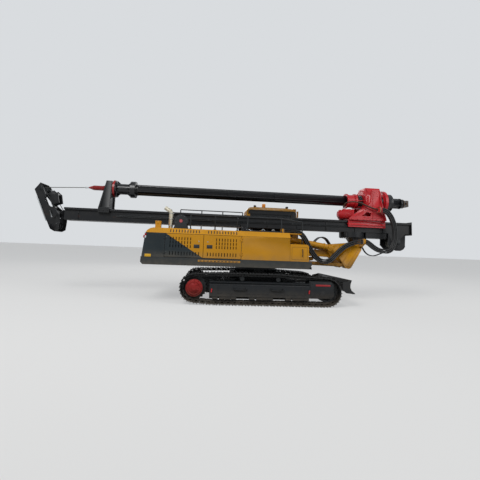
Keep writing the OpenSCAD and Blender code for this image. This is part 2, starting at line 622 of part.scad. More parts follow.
module console() {
    floor_z = cab_low + cab_t;
    color("#303538") at_slew() {
        box(cab_x + 630, cab_x + 1010, console_y[0], console_y[1], floor_z, 1700);
        prism_y([[cab_front - 300, floor_z], [cab_front - 170, floor_z], [cab_front - 130, 1500], [cab_front - 130, 1760], [cab_front - 190, 1800], [cab_front - 250, 1760]], chair_y - chair_half + 15, chair_y + chair_half - 15);
    }
}
module beacon() {
    color("#c87820") at_slew() translate([350, 900, cab_z - 10]) cylinder(r = 60, h = 165, $fn = 24);
}

// Boom, links, bracket and cylinders
module boom() {
    color("#a8701c") at_slew() difference() {
        union() {
            prism_y([[boom_foot[0] - 90, 1400], [boom_foot[0] + 60, 1352], [cyl_eye[0] + 60, 1352], [boom_tip[0] + 40, 1325], [boom_tip[0] + 105, 1400], [boom_tip[0] + 80, 1500], [1500, 1590], [boom_foot[0] + 40, 1560], [boom_foot[0] - 90, 1520]], -boom_y, boom_y);
            both_sides() prism_y([[1800, 1360], [1850, 1255], [1950, 1255], [2000, 1360]], 60, 95);
            box(boom_hose_x - 60, boom_hose_x, -150, 150, 1540, 1640);
        }
        shaft_y(boom_foot, boom_pin_r + fit, -300, 300, 24);
        shaft_y(boom_tip, boom_pin_r + fit, -300, 300, 24);
    }
}
module boom_links() {
    color("#a8701c") at_slew() both_sides() difference() {
        union() {
            bar(link_foot, link_tip, 376, 50, 0, boom_l);
            shaft_y(link_foot, 68, 328, 424, 24);
            shaft_y(link_tip, 62, 328, 424, 24);
        }
        shaft_y(link_foot, link_pin_r + fit, 300, 450, 20);
        shaft_y(link_tip, link_pin_r + fit, 300, 450, 20);
    }
}
boom_cyl_len = norm(cyl_eye - cyl_foot);
boom_barrel_l = 660;
boom_rod_tail = 130;
module boom_cylinder() {
    color("#a8701c") at_slew() difference() {
        union() {
            bar(cyl_foot, cyl_eye, 0, 60, 40, boom_barrel_l);
            shaft_y(cyl_foot, 58, -82, 82, 24);
        }
        shaft_y(cyl_foot, boom_cyl_pin_r + fit, -90, 90, 20);
        bar(cyl_foot, cyl_eye, 0, 37 + fit, boom_rod_tail - 8, boom_barrel_l + 60);
    }
}
module boom_rod() {
    color("#c4c6c8") at_slew() {
        bar(cyl_foot, cyl_eye, 0, 37, boom_rod_tail, boom_cyl_len - 20);
        shaft_y(cyl_eye, 45, -52, 52, 24);
    }
}
plate_line = [[2110, 1560], [2100, 1680], [2180, 1725], [2600, 1770], [3000, 1810], [3270, 1900], [3330, 1945], [3400, 1940], [3445, 1890], [3440, 1820], [3380, 1760],
    [3190, 1560], [2850, 1040], [2780, 1010], [2680, 1030], [2560, 1180], [2420, 1310], [2300, 1350], [2200, 1480]];
outer_line = [[2470, 1339], [2920, 1748], [3190, 1606], [2850, 1040], [2780, 1010], [2680, 1030]];
module bracket() {
    color("#a8701c") at_slew() {
        both_sides() difference() {
            union() {
                prism_y(plate_line, plate_in, plate_out);
                prism_y(outer_line, 440, 470);
                prism_y([[2820, 1020], [2850, 1040], [3190, 1606], [3158, 1625]], 275, 445);
                prism_y([[2920, 1748], [3190, 1606], [3173, 1575], [2900, 1716]], 275, 445);
                shaft_y(link_tip, link_pin_r, 275, 475, 20);
                shaft_y(bracket_eye, mast_cyl_pin_r, 235, 465, 20);
            }
            shaft_y(mast_pin, boom_pin_r + fit, 200, 300, 24);
        }
        box(hose_clamp, hose_clamp + 60, hose_y - 70, -275, hose_end_z - 78, hose_end_z + 78);
        box(winch_hose_x - 40, winch_hose_x, -425, -275, 1635, 1705);
        box(boom_hose_end - 45, boom_hose_end + 45, -245, 245, 1640, 1680);
        shaft_y(boom_tip, boom_pin_r, -285, 285, 24);
        shaft_y(bracket_eye, 50, -245, 245, 24);
        shaft_y([2960, 1560], 60, -245, 245, 24);
    }
}
mast_cyl_len = norm(mast_lug - bracket_eye);
module mast_cylinders() {
    color("#a8701c") at_slew() both_sides() difference() {
        union() {
            bar(bracket_eye, mast_lug, cylinder_y, 84, 70, 2200, 32);
            shaft_y(bracket_eye, 96, cylinder_y - 70, cylinder_y + 70, 32);
        }
        shaft_y(bracket_eye, mast_cyl_pin_r + fit, 280, 480, 20);
        bar(bracket_eye, mast_lug, cylinder_y, 54 + fit, 200, 2300, 32);
    }
}
module mast_rods() {
    color("#c4c6c8") at_slew() both_sides() {
        bar(bracket_eye, mast_lug, cylinder_y, 54, 260, mast_cyl_len - 30, 32);
        shaft_y(mast_lug, 60, cylinder_y - 40, cylinder_y + 40, 24);
    }
}

// Mast and what slides on it
mast_half = mast_w / 2;
rail_half = rail_w / 2;
rail_h = 60;
rail_z = mast_top - rail_h;
plate_x = mast_front - 24;
module mast() {
    color("#22262a") at_slew() {
        difference() {
            box(-mast_rear, plate_x + 1, -mast_half, mast_half, mast_z, rail_z);
            box(-mast_rear + 20, plate_x, -mast_half + 15, mast_half - 15, mast_z + 15, rail_z - 15);
        }
        box(plate_x, mast_front, -rail_half, rail_half, mast_z - 30, mast_top + 30);
        both_sides() {
            prism_y([[-560, mast_z + 60], [-340, mast_z + 60], [-400, mast_lug[1] - 50], [-500, mast_lug[1] - 50]], 290, 325);
            prism_y([[-560, mast_z + 60], [-340, mast_z + 60], [-400, mast_lug[1] - 50], [-500, mast_lug[1] - 50]], 435, 465);
            difference() {
                prism_y([[-mast_rear + 5, mast_z + 20], head_pin + [-55, -65], head_pin + [-75, 0], head_pin + [-50, 65], [-mast_rear + 5, rail_z]], 150, 185);
                shaft_y(head_pin, head_pin_r + fit, 140, 195, 20);
            }
        }
        box(-560, -340, -465, 465, mast_z + 40, mast_z + 100);
        both_sides() shaft_y(mast_lug, 34, 270, 292, 20);
        both_sides() shaft_y(mast_lug, 34, 462, 474, 20);
    }
}
module guide_rails() {
    color("#22262a") at_slew() box(-mast_rear, plate_x, -rail_half, rail_half, rail_z, mast_top);
}
module mast_cradle() {
    color("#22262a") at_slew() {
        translate([3070, 0, 1975]) cylinder(r = 380, h = mast_z - 1975, $fn = 48);
        prism_y([[2960, 1980], [3050, 1850], [3300, 1765], [3400, 1765], [3460, 1850], [3460, 1980]], -225, 225);
        box(3455, aux_at[0] - 280, -200, 200, 1975, mast_z);
        shaft_y(mast_pin, boom_pin_r, -310, 310, 24);
    }
}
head_line = [[-6400, 3190], [-6545, 2985], [-6110, 2050], [-6020, 1865], [-5900, 1795], [-5800, 1850], [-5780, 2080], [-5785, 2330],
    [-5900, 2420], [-6080, 2560], [-6360, 3130]];
// The rope guide's plates on the head's rear edge, and the webs between the head's plates
block_line = [[-6330, 2780], [-6203, 2905], [-6060, 2995], [-5940, 2900], [-5890, 2640], [-6100, 2560]];
block_roller = [-6020, 2880];
head_webs = [[[-6400, 3190], [-6545, 2985], [-6527, 2975], [-6384, 3176]], [[-6400, 2790], [-6170, 2860], [-6178, 2885], [-6408, 2815]],
    [[-6230, 2440], [-6245, 2480], [-6080, 2545], [-6065, 2505]], [[-6020, 1865], [-5900, 1795], [-5893, 1812], [-6008, 1880]]];
module mast_head() {
    color("#22262a") at_slew() {
        both_sides() {
            prism_y(head_line, 232, 262);
            prism_y(block_line, 120, 145);
            for (web = head_webs) prism_y(web, -1, 235);
        }
        shaft_y(block_roller, 55, -125, 125, 24);
        shaft_y(head_pin, head_pin_r, -270, 270, 20);
        shaft_y(sheave_high, sheave_pin_r, -270, 270, 20);
        shaft_y(sheave_low, sheave_pin_r, -270, 270, 20);
    }
}
sheave_low = [-5915, 1965];
sheave_high = [-6370, 2990];
module sheave(at, r) {
    translate([at[0], 0, at[1]]) rotate([90, 0, 0]) rotate_extrude($fn = 40)
        polygon([[sheave_pin_r + fit, -24], [r, -24], [r - 24, -6], [r - 24, 6], [r, 24], [sheave_pin_r + fit, 24]]);
}
module upper_sheaves() {
    color("#303538") at_slew() for (y = [-70, 70]) translate([0, y, 0]) sheave(sheave_high, 105);
}
module lower_sheaves() {
    color("#303538") at_slew() for (y = [-70, 70]) translate([0, y, 0]) sheave(sheave_low, 105);
}
// Side plate of the winch, x from its drum's axis
aux_line = [[-280, mast_z + 10], [-290, 1800], [-150, 1650], [-50, 1620], [110, 1620], [210, 1670], [270, 1760], [290, mast_z + 10]];
module aux_winch_frame() {
    color("#22262a") at_slew() {
        both_sides() prism_y([for (p = aux_line) [aux_at[0] + p[0], p[1]]], 225, 255);
        box(aux_at[0] - 280, aux_at[0] + 290, -240, 240, mast_z - 60, mast_z);
        box(winch_hose_end, winch_hose_end + 50, -425, -250, 1730, 1790);
        shaft_y(aux_at, drum_shaft_r, -250, 250, 20);
    }
}
module aux_drum() {
    color("#303538") at_slew() difference() {
        union() {
            shaft_y(aux_at, 130, -215, 215, 32);
            for (y = [-215, 195]) shaft_y(aux_at, 200, y, y + 20, 40);
        }
        shaft_y(aux_at, drum_shaft_r + fit, -230, 230, 20);
    }
}
// Carriage that hooks round the guide rails, from x0 to x1, with side skirts of a given depth
module rail_hook(x0, x1, skirt = 110) {
    both_sides() {
        box(x0, x1, rail_half + 6, rail_half + 46, mast_top - skirt, mast_top + 46);
        box(x0, x1, mast_half + 8, rail_half + 46, mast_top - 110, mast_top - 66);
    }
    box(x0, x1, -rail_half - 46, rail_half + 46, mast_top + 6, mast_top + 46);
    for (x = [x0 + 20, x1 - 120]) both_sides() {
        box(x, x + 100, rail_half + fit, rail_half + 10, mast_top - 50, mast_top - 10);
        box(x, x + 100, rail_half - 80, rail_half - 20, mast_top + fit, mast_top + 10);
    }
}
guide_x = [-4720, -4402];
guide_top = 3360;
module kelly_guide() {
    color("#22262a") at_slew() {
        rail_hook(guide_x[0], guide_x[1]);
        difference() {
            union() {
                both_sides() prism_y([[guide_x[0] - 30, mast_top + 40], [-4570, guide_top], [guide_x[1] - 5, guide_top], [guide_x[1], mast_top + 40]], 190, 230);
                box(-4540, guide_x[1] - 5, -230, 230, 2900, guide_top);
                both_sides() prism_y([[-4500, mast_top + 40], [-4500, 2905], [-4440, 2905], [-4440, mast_top + 40]], -1, 195);
            }
            shaft_x(-4600, -4300, 0, kelly_z, guide_pin_r + fit, 32);
        }
    }
}
// Kelly: a ring and a spool of two gusseted discs, the keyed tube, the square stub and the swivel
ring_at = [-4392, -4330];
disc_rear = [-4335, -4290];
disc_front = [-3890, -3743];
tube_end = 4790;
stub_end = 4965;
stub_half = 100;
tube_r = kelly_d / 2 - key_h;
module gussets(points) {
    translate([0, 0, kelly_z]) for (i = [0:gusset_count - 1]) rotate([i * 360 / gusset_count, 0, 0]) prism_y(points, -7, 7);
}
module kelly() {
    color("#1d2024") at_slew() {
        shaft_x(-4620, -4270, 0, kelly_z, guide_pin_r, 32);
        shaft_x(ring_at[0], ring_at[1], 0, kelly_z, spool_r + 8, 48);
        shaft_x(disc_rear[0], disc_rear[1], 0, kelly_z, spool_r, 48);
        shaft_x(disc_rear[1] - 10, disc_front[0] + 10, 0, kelly_z, tube_r + 14, 40);
        shaft_x(disc_front[0], disc_front[1], 0, kelly_z, spool_r, 48);
        gussets([[disc_rear[1] - 5, tube_r], [disc_rear[1] - 5, spool_r - 12], [disc_rear[1] + 110, tube_r]]);
        gussets([[disc_front[0] + 5, tube_r], [disc_front[0] + 5, spool_r - 12], [disc_front[0] - 110, tube_r]]);
        shaft_x(disc_front[1] - 5, tube_end, 0, kelly_z, tube_r, 40);
        for (i = [0:key_count - 1]) translate([0, 0, kelly_z]) rotate([i * 360 / key_count, 0, 0])
            box(disc_front[1] - 3, tube_end - 90, -17, 17, tube_r - 8, kelly_d / 2);
        difference() {
            box(tube_end - 10, stub_end, -stub_half, stub_half, kelly_z - stub_half, kelly_z + stub_half);
            shaft_y([stub_end - 85, kelly_z], 30, -120, 120, 24);
        }
        shaft_x(-4990, -4610, 0, kelly_z, 72, 28);
        translate([-5136, 0, kelly_z]) rotate([0, 90, 0]) cylinder(r1 = 18, r2 = 70, h = 148, $fn = 28);
    }
}
// Rotary drive: its carriage, side plates, housing, flanges, rods and two motors
drive_x = [2830, 4035];
plate_y = [360, 400];
spring_x = [3195, 3380];
house_x = [3430, 3900];
ring_x = 4050;
house_top = 3575;
motor_y = 200;
motor_z = 2690;
drive_plate = [[drive_x[0], mast_top + 40], [drive_x[0], mast_top + 70], [3530, 3105], [3567, 3485], [3800, 3500], [drive_x[1], mast_top + 70], [drive_x[1], mast_top + 40]];
plate_window = [[3219, 2647], [3400, 2781], [3545, 2741], [3512, 2645]];
house_half = [[0, mast_top + 40], [200, mast_top + 40], [200, 2800], [361, 2900], [361, 3330], [230, house_top], [0, house_top]];
module motor(y, x0) {
    shaft_x(x0, 2950, y, motor_z, 140, 32);
    shaft_x(x0 - 40, x0 + 5, y, motor_z, 95, 24);
    box(x0 + 120, 2940, y - 70, y + 70, motor_z + 100, motor_z + 175);
    box(2935, 2990, y - 175, y + 175, mast_top + 40, motor_z + 160);
}
module drive() {
    color("#a02a2a") at_slew() {
        rail_hook(drive_x[0], drive_x[1], 200);
        box(drive_x[0], drive_x[1], -plate_y[1], plate_y[1], mast_top + 20, mast_top + 46);
        both_sides() for (z = [mast_top - 150, mast_top - 60]) box(drive_x[0] + 30, drive_x[1] - 30, rail_half + 44, rail_half + 62, z, z + 20);
        both_sides() difference() {
            prism_y(drive_plate, plate_y[0], plate_y[1]);
            prism_y(plate_window, plate_y[0] - 10, plate_y[1] + 10);
        }
        difference() {
            union() {
                both_sides() prism_x(house_half, house_x[0], house_x[1]);
                shaft_x(spring_x[1], house_x[0] + 5, 0, kelly_z, 375, 48);
                shaft_x(drive_x[0] + 30, drive_x[0] + 75, 0, kelly_z, 235, 48);
                shaft_x(drive_x[0] + 70, spring_x[0] - 60, 0, kelly_z, 205, 40);
                shaft_x(spring_x[0] - 65, spring_x[0], 0, kelly_z, 240, 48);
            }
            shaft_x(2800, 3950, 0, kelly_z, bore_r, 48);
        }
        for (i = [0:5]) rotate_kelly(i * 60 + 30) shaft_x(spring_x[0] - 5, spring_x[1] + 5, 0, 222, 14, 12);
        motor(-motor_y, 2575);
        motor(motor_y, 2760);
        box(drive_hose_x - 80, drive_hose_x, hose_y - 70, -plate_y[1] + 5, drive_hose_z - 78, drive_hose_z + 78);
    }
}
module rotate_kelly(angle) {
    translate([0, 0, kelly_z]) rotate([angle, 0, 0]) children();
}
// Spring section between the flanges, and the sleeve and ring at the lower side
spring_n = 5;
spring_pitch = (spring_x[1] - spring_x[0]) / spring_n;
spring_line = [for (i = [0:spring_n - 1]) each [[186, spring_x[0] + i * spring_pitch], [203, spring_x[0] + (i + 0.5) * spring_pitch]]];
module drive_spring() {
    color("#1b1d1f") at_slew() {
        translate([0, 0, kelly_z]) rotate([0, 90, 0]) rotate_extrude($fn = 40)
            polygon(concat([[bore_r, spring_x[0]]], spring_line, [[186, spring_x[1]], [bore_r, spring_x[1]]]));
        difference() {
            union() {
                shaft_x(house_x[1], ring_x + 10, 0, kelly_z, 225, 40);
                shaft_x(ring_x, ring_x + 85, 0, kelly_z, 375, 48);
                shaft_x(ring_x + 80, ring_x + 300, 0, kelly_z, 285, 48);
            }
            shaft_x(house_x[1] - 10, ring_x + 120, 0, kelly_z, bore_r, 48);
            shaft_x(ring_x + 115, ring_x + 310, 0, kelly_z, 262, 48);
        }
    }
}

// Hose bundles and small hoses, each between its two clamps
module hose_loop_rear() {
    color("#161718") at_slew() hose(loop_rear, hose_y, hose_w, hose_h);
}
module hose_loop_front() {
    color("#161718") at_slew() hose(loop_front, hose_y, hose_w, hose_h);
}
module hose_drop_lower() {
    color("#161718") at_slew() hose(drop_lower, hose_y, hose_w, hose_h);
}
module hose_drop_upper() {
    color("#161718") at_slew() hose(drop_upper, hose_y, hose_w, hose_h);
}
module winch_hoses() {
    color("#161718") at_slew() for (y = [-400, -350]) hose(winch_route, y, 28, 28);
}
module boom_hoses() {
    color("#161718") at_slew() for (y = [-100, -50, 0, 50, 100]) hose(boom_route, y, 32, 32);
}

carbody();
slew_ring();
track_frames();
track_right();
track_left();
sprockets();
final_drives();
idlers();
rollers();
blade();
blade_cylinders();
blade_rods();
deck();
counterweight();
hood();
tool_box();
engine();
door_right_rear();
door_right_front();
door_left_rear();
door_left_front();
handrails();
exhaust();
air_box();
cab();
cab_door();
cab_glass();
door_glass();
operator_chair();
console();
beacon();
winch_frame();
winch_drum();
boom();
boom_links();
boom_cylinder();
boom_rod();
bracket();
mast_cylinders();
mast_rods();
mast();
guide_rails();
mast_cradle();
mast_head();
upper_sheaves();
lower_sheaves();
aux_winch_frame();
aux_drum();
kelly_guide();
kelly();
drive();
drive_spring();
hose_loop_rear();
hose_loop_front();
hose_drop_lower();
hose_drop_upper();
winch_hoses();
boom_hoses();
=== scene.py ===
import json
import math

import bpy
from bpy.props import FloatProperty, FloatVectorProperty, IntProperty, PointerProperty
from mathutils import Matrix, Vector


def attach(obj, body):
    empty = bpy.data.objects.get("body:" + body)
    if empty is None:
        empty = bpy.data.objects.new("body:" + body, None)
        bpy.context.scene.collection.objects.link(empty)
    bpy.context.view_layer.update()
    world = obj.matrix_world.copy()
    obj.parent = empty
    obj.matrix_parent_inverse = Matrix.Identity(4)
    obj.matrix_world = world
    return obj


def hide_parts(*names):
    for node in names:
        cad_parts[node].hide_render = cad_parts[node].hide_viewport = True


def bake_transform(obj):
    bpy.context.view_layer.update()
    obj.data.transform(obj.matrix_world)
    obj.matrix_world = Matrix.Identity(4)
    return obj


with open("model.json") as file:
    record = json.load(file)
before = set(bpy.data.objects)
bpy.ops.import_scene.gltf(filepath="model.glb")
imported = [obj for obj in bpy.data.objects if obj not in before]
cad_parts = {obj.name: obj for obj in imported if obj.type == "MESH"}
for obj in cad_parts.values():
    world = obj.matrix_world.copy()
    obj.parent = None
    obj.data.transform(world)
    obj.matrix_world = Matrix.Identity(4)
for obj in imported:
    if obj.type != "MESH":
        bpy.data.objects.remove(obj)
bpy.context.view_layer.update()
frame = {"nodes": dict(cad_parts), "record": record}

bl_info = {
    "name": "Rotary piling rig",
    "version": (1, 1, 0),
    "blender": (4, 5, 0),
    "location": "3D View > Sidebar > Piling rig",
    "description": "Dresses a rotary piling rig in its transport pose, piece by piece",
    "category": "Object",
}

# Metres from the frame's middle to the slew axis, which all places below are measured from
SLEW_X = 0.79
# Places shared with the frame, in millimetres: the housing's side and top, the kelly's axis and the mast's
# underside
SIDE = 1300
HOOD_TOP = 1975
KELLY_Z = 3155
MAST_LOW = 2145
# Middle of a track, outer face of its frame, and the final drive's centre as [x, z]
TRACK_Y = 1150
FRAME_Y = 1335
HUB = (-1800, 435)
# Centres of the two winches and of the turntable's underside as [x, z]
MAIN_WINCH = (-2260, 2190)
AUX_WINCH = (4450, 1870)
TURNTABLE = (3070, 1975)
# Inner and outer side of the cab
CAB_INNER = 505
CAB_OUTER = 1350
# Each motor's place across and its rear face, the near one first, and the height of their axes
MOTORS = ((-200, 2575), (200, 2760))
MOTOR_Z = 2690
# Pins of the mast cylinders and of the blade cylinders as [x, z], from barrel to rod
MAST_CYLINDER = (Vector((2200, 1633)), Vector((-450, 2060)))
BLADE_CYLINDER = (Vector((1040, 700)), Vector((2200, 620)))
# Ways out of the machine
FRONT, REAR, LEFT, RIGHT, UP, DOWN = (1, 0, 0), (-1, 0, 0), (0, 1, 0), (0, -1, 0), (0, 0, 1), (0, 0, -1)


def hex_colour(text):
    """An sRGB hex colour as a linear RGBA tuple."""
    parts = [int(text[i:i + 2], 16) / 255 for i in (1, 3, 5)]
    return tuple(c / 12.92 if c <= 0.04045 else ((c + 0.055) / 1.055) ** 2.4 for c in parts) + (1.0,)


def colour_prop(name, text, what):
    return FloatVectorProperty(name=name, description=what, subtype="COLOR", size=4, min=0, max=1,
                               default=hex_colour(text))


def size_prop(name, metres, what):
    return FloatProperty(name=name, description=what, unit="LENGTH", default=metres, min=0, precision=4)


class RigPaint(bpy.types.PropertyGroup):
    """Colours of the rig's paints and bare parts."""
    yellow: colour_prop("Yellow", "#bd8309", "Enamel of the cab, housing and boom")
    grey: colour_prop("Grey", "#1c262a", "Enamel of the deck, counterweight and rear side panel")
    frame_black: colour_prop("Frame black", "#181b1e", "Paint of the undercarriage")
    mast_black: colour_prop("Mast black", "#0e1013", "Paint of the mast and its fittings")
    red: colour_prop("Drive red", "#b81a22", "Enamel of the rotary drive")
    hub_red: colour_prop("Hub red", "#8a1a18", "Paint of the final drives' caps")
    dust: colour_prop("Dust", "#6f6455", "Dry soil on the tracks and low edges")


class RigSizes(bpy.types.PropertyGroup):
    """Sizes of the pieces that are added over the frame."""
    hose: size_prop("Hose", 0.040, "Outside diameter of one hose in the wide bundles")
    boom_hose: size_prop("Boom hose", 0.032, "Outside diameter of a hose of the boom's cylinder")
    winch_hose: size_prop("Winch hose", 0.028, "Outside diameter of a hose of the auxiliary winch")
    rope: size_prop("Rope", 0.020, "Diameter of the wire ropes")
    hub_bolts: IntProperty(name="Hub bolts", description="Bolts round each final drive's cap", default=12,
                           min=4, max=24)


class RigStage(bpy.types.PropertyGroup):
    """Camera and light, as the photograph was taken."""
    focal_px: FloatProperty(name="Focal length", description="Focal length in pixels of a 480 pixel frame",
                            default=328.0)
    yaw: FloatProperty(name="Yaw", description="Turn of the camera toward the front", subtype="ANGLE",
                       default=math.radians(5.39))
    pitch: FloatProperty(name="Pitch", description="Rise of the camera's axis", subtype="ANGLE",
                         default=math.radians(6.25))
    roll: FloatProperty(name="Roll", description="Lean of the camera", subtype="ANGLE",
                        default=math.radians(2.14))
    eye: FloatVectorProperty(name="Eye", description="Place of the camera", unit="LENGTH", size=3,
                             default=(-0.708, -10.14, 1.4725))


def node(tree, kind, links=None, **settings):
    """Adds a shader node. Settings are its properties or sockets; links maps a socket to (node, output)."""
    n = tree.nodes.new(kind)
    for key, value in settings.items():
        if key in n.inputs:
            n.inputs[key].default_value = value
        else:
            setattr(n, key, value)
    for key, (source, output) in (links or {}).items():
        socket = n.inputs[int(key)] if str(key).isdigit() else n.inputs[key]
        tree.links.new(source.outputs[output], socket)
    return n


def start_material(name):
    m = bpy.data.materials.new(name)
    m.use_nodes = True
    m.node_tree.nodes.clear()
    return m, m.node_tree


def end_material(tree, shader):
    out = tree.nodes.new("ShaderNodeOutputMaterial")
    tree.links.new(shader.outputs[0], out.inputs["Surface"])


def tinted(colour, share):
    return tuple(min(c * share, 1.0) for c in colour[:3]) + (1.0,)


def maths(tree, operation, *values, **settings):
    """A math node on values that are numbers or (node, output) pairs."""
    links = {i: v for i, v in enumerate(values) if isinstance(v, tuple)}
    n = node(tree, "ShaderNodeMath", links, operation=operation, **settings)
    for i, value in enumerate(values):
        if i not in links:
            n.inputs[i].default_value = value
    return n


def grain_of(tree, place, scale, detail, **settings):
    """Noise that stays with the object."""
    return node(tree, "ShaderNodeTexNoise", {"Vector": (place, "Object")}, Scale=scale, Detail=detail,
                **settings)


def ramp(tree, source, output, low, high, start=0.0, end=1.0):
    """Maps a node's value from low..high to start..end."""
    limits = {"From Min": low, "From Max": high, "To Min": start, "To Max": end}
    return node(tree, "ShaderNodeMapRange", {"Value": (source, output)}, **limits)


def mixed(tree, factor, output, a, b):
    """Mixes two colours, each a tuple or a (node, output) pair."""
    n = node(tree, "ShaderNodeMix", {"Factor": (factor, output)}, data_type="RGBA")
    for slot, colour in ((6, a), (7, b)):
        if isinstance(colour[0], bpy.types.Node):
            tree.links.new(colour[0].outputs[colour[1]], n.inputs[slot])
        else:
            n.inputs[slot].default_value = colour
    return n


def two_tones(tree, drift, colour, low, high):
    """A colour that drifts between two shares of itself."""
    return mixed(tree, drift, "Fac", tinted(colour, low), tinted(colour, high))


def painted(name, colour, roughness=0.4, dust_low=None, dust=0.2, specular=0.5, second=None, chips=None):
    """Enamel on steel: slight colour drift, fine orange peel, rounded edges that catch the light, dust in
    patches, and more of it low down, which fades between the two heights of dust_low. second is a pair of
    colour and mask, for a second paint where the mask is 1. chips is the bare colour where spots have lost
    their paint."""
    m, t = start_material(name)
    place = node(t, "ShaderNodeTexCoord")
    drift = grain_of(t, place, 1.7, 3.0)
    base = (two_tones(t, drift, colour, 0.84, 1.14), 2)
    if second:
        other = two_tones(t, drift, second[0], 0.84, 1.14)
        base = (mixed(t, second[1](t, place), 0, base, (other, 2)), 2)
    patches = grain_of(t, place, 6.0, 8.0, Roughness=0.65)
    if chips:
        fine = grain_of(t, place, 3.1, 10.0, Roughness=0.75)
        base = (mixed(t, ramp(t, fine, "Fac", 0.60, 0.68, 0.0, 0.75), 0, base, chips), 2)
    amount = ramp(t, patches, "Fac", 0.45, 0.8, 0.0, dust)
    if dust_low:
        axes = node(t, "ShaderNodeSeparateXYZ", {0: (place, "Object")})
        fall = ramp(t, axes, "Z", dust_low[0], dust_low[1], 0.7, 0.0)
        total = maths(t, "ADD", (amount, 0), (fall, 0), use_clamp=True)
        amount = maths(t, "MULTIPLY", (total, 0), (patches, "Fac"), use_clamp=True)
    finish = mixed(t, amount, 0, base, tuple(bpy.context.scene.rig_paint.dust))
    edge = node(t, "ShaderNodeBevel", samples=4, Radius=0.006)
    links = {"Height": (grain_of(t, place, 120.0, 2.0), "Fac"), "Normal": (edge, 0)}
    bump = node(t, "ShaderNodeBump", links, Strength=0.05, Distance=0.002)
    rough = ramp(t, amount, 0, 0.0, 1.0, roughness, min(roughness + 0.4, 0.95))
    links = {"Normal": (bump, 0), "Roughness": (rough, 0), "Base Color": (finish, 2)}
    surface = {"IOR": 1.5, "Specular IOR Level": specular}
    end_material(t, node(t, "ShaderNodeBsdfPrincipled", links, **surface))
    return m


def plain_shader(name, colour, roughness=0.5, metallic=0.0, grain=0.0, grain_scale=60.0, **sockets):
    """One finish with a fine grain in its bump and colour, and rounded edges."""
    m, t = start_material(name)
    noise = grain_of(t, node(t, "ShaderNodeTexCoord"), grain_scale, 4.0)
    tone = two_tones(t, noise, colour, 0.75, 1.2)
    edge = node(t, "ShaderNodeBevel", samples=4, Radius=0.003)
    links = {"Height": (noise, "Fac"), "Normal": (edge, 0)}
    bump = node(t, "ShaderNodeBump", links, Strength=grain, Distance=0.003)
    links = {"Normal": (bump, 0), "Base Color": (tone, 2)}
    surface = dict(sockets, Roughness=roughness, Metallic=metallic)
    end_material(t, node(t, "ShaderNodeBsdfPrincipled", links, **surface))
    return m


def hose_cover(name):
    """Rubber hose: fine cloth mark and pale scuffs along it."""
    m, t = start_material(name)
    place = node(t, "ShaderNodeTexCoord")
    mark = grain_of(t, place, 300.0, 3.0)
    scuff = ramp(t, grain_of(t, place, 9.0, 6.0), "Fac", 0.5, 0.8, 0.0, 0.5)
    tone = mixed(t, scuff, 0, hex_colour("#131415"), hex_colour("#3b3b3a"))
    bump = node(t, "ShaderNodeBump", {"Height": (mark, "Fac")}, Strength=0.2, Distance=0.002)
    links = {"Normal": (bump, 0), "Base Color": (tone, 2)}
    end_material(t, node(t, "ShaderNodeBsdfPrincipled", links, Roughness=0.42))
    return m


def rear_of_line(tree, place):
    """1 behind the slanting line that parts the grey rear panel from the yellow, below the chamfer."""
    axes = node(tree, "ShaderNodeSeparateXYZ", {0: (place, "Object")})
    top, foot = (-2.619 + SLEW_X, 1.832), (-1.537 + SLEW_X, 1.160)
    lean = (foot[0] - top[0]) / (top[1] - foot[1])
    total = maths(tree, "ADD", (maths(tree, "MULTIPLY", (axes, "Z"), lean), 0), (axes, "X"))
    behind = maths(tree, "LESS_THAN", (total, 0), top[0] + lean * top[1])
    below = maths(tree, "LESS_THAN", (axes, "Z"), top[1])
    return maths(tree, "MULTIPLY", (behind, 0), (below, 0))


def near_x(tree, axes, middle, reach):
    """1 where x is less than reach from the middle, in metres off the slew axis."""
    ahead = maths(tree, "SUBTRACT", (axes, "X"), middle + SLEW_X)
    return maths(tree, "LESS_THAN", (maths(tree, "ABSOLUTE", (ahead, 0)), 0), reach)


def red_end(tree, place):
    """1 on the kelly's red swivel and on the red ring ahead of it."""
    axes = node(tree, "ShaderNodeSeparateXYZ", {0: (place, "Object")})
    swivel = maths(tree, "LESS_THAN", (axes, "X"), -4.545 + SLEW_X)
    return maths(tree, "MAXIMUM", (swivel, 0), (near_x(tree, axes, -4.363, 0.031), 0))


def red_flange(tree, place):
    """1 on the flange ring between the drive's housing and its springs."""
    axes = node(tree, "ShaderNodeSeparateXYZ", {0: (place, "Object")})
    return near_x(tree, axes, 4.093, 0.048)


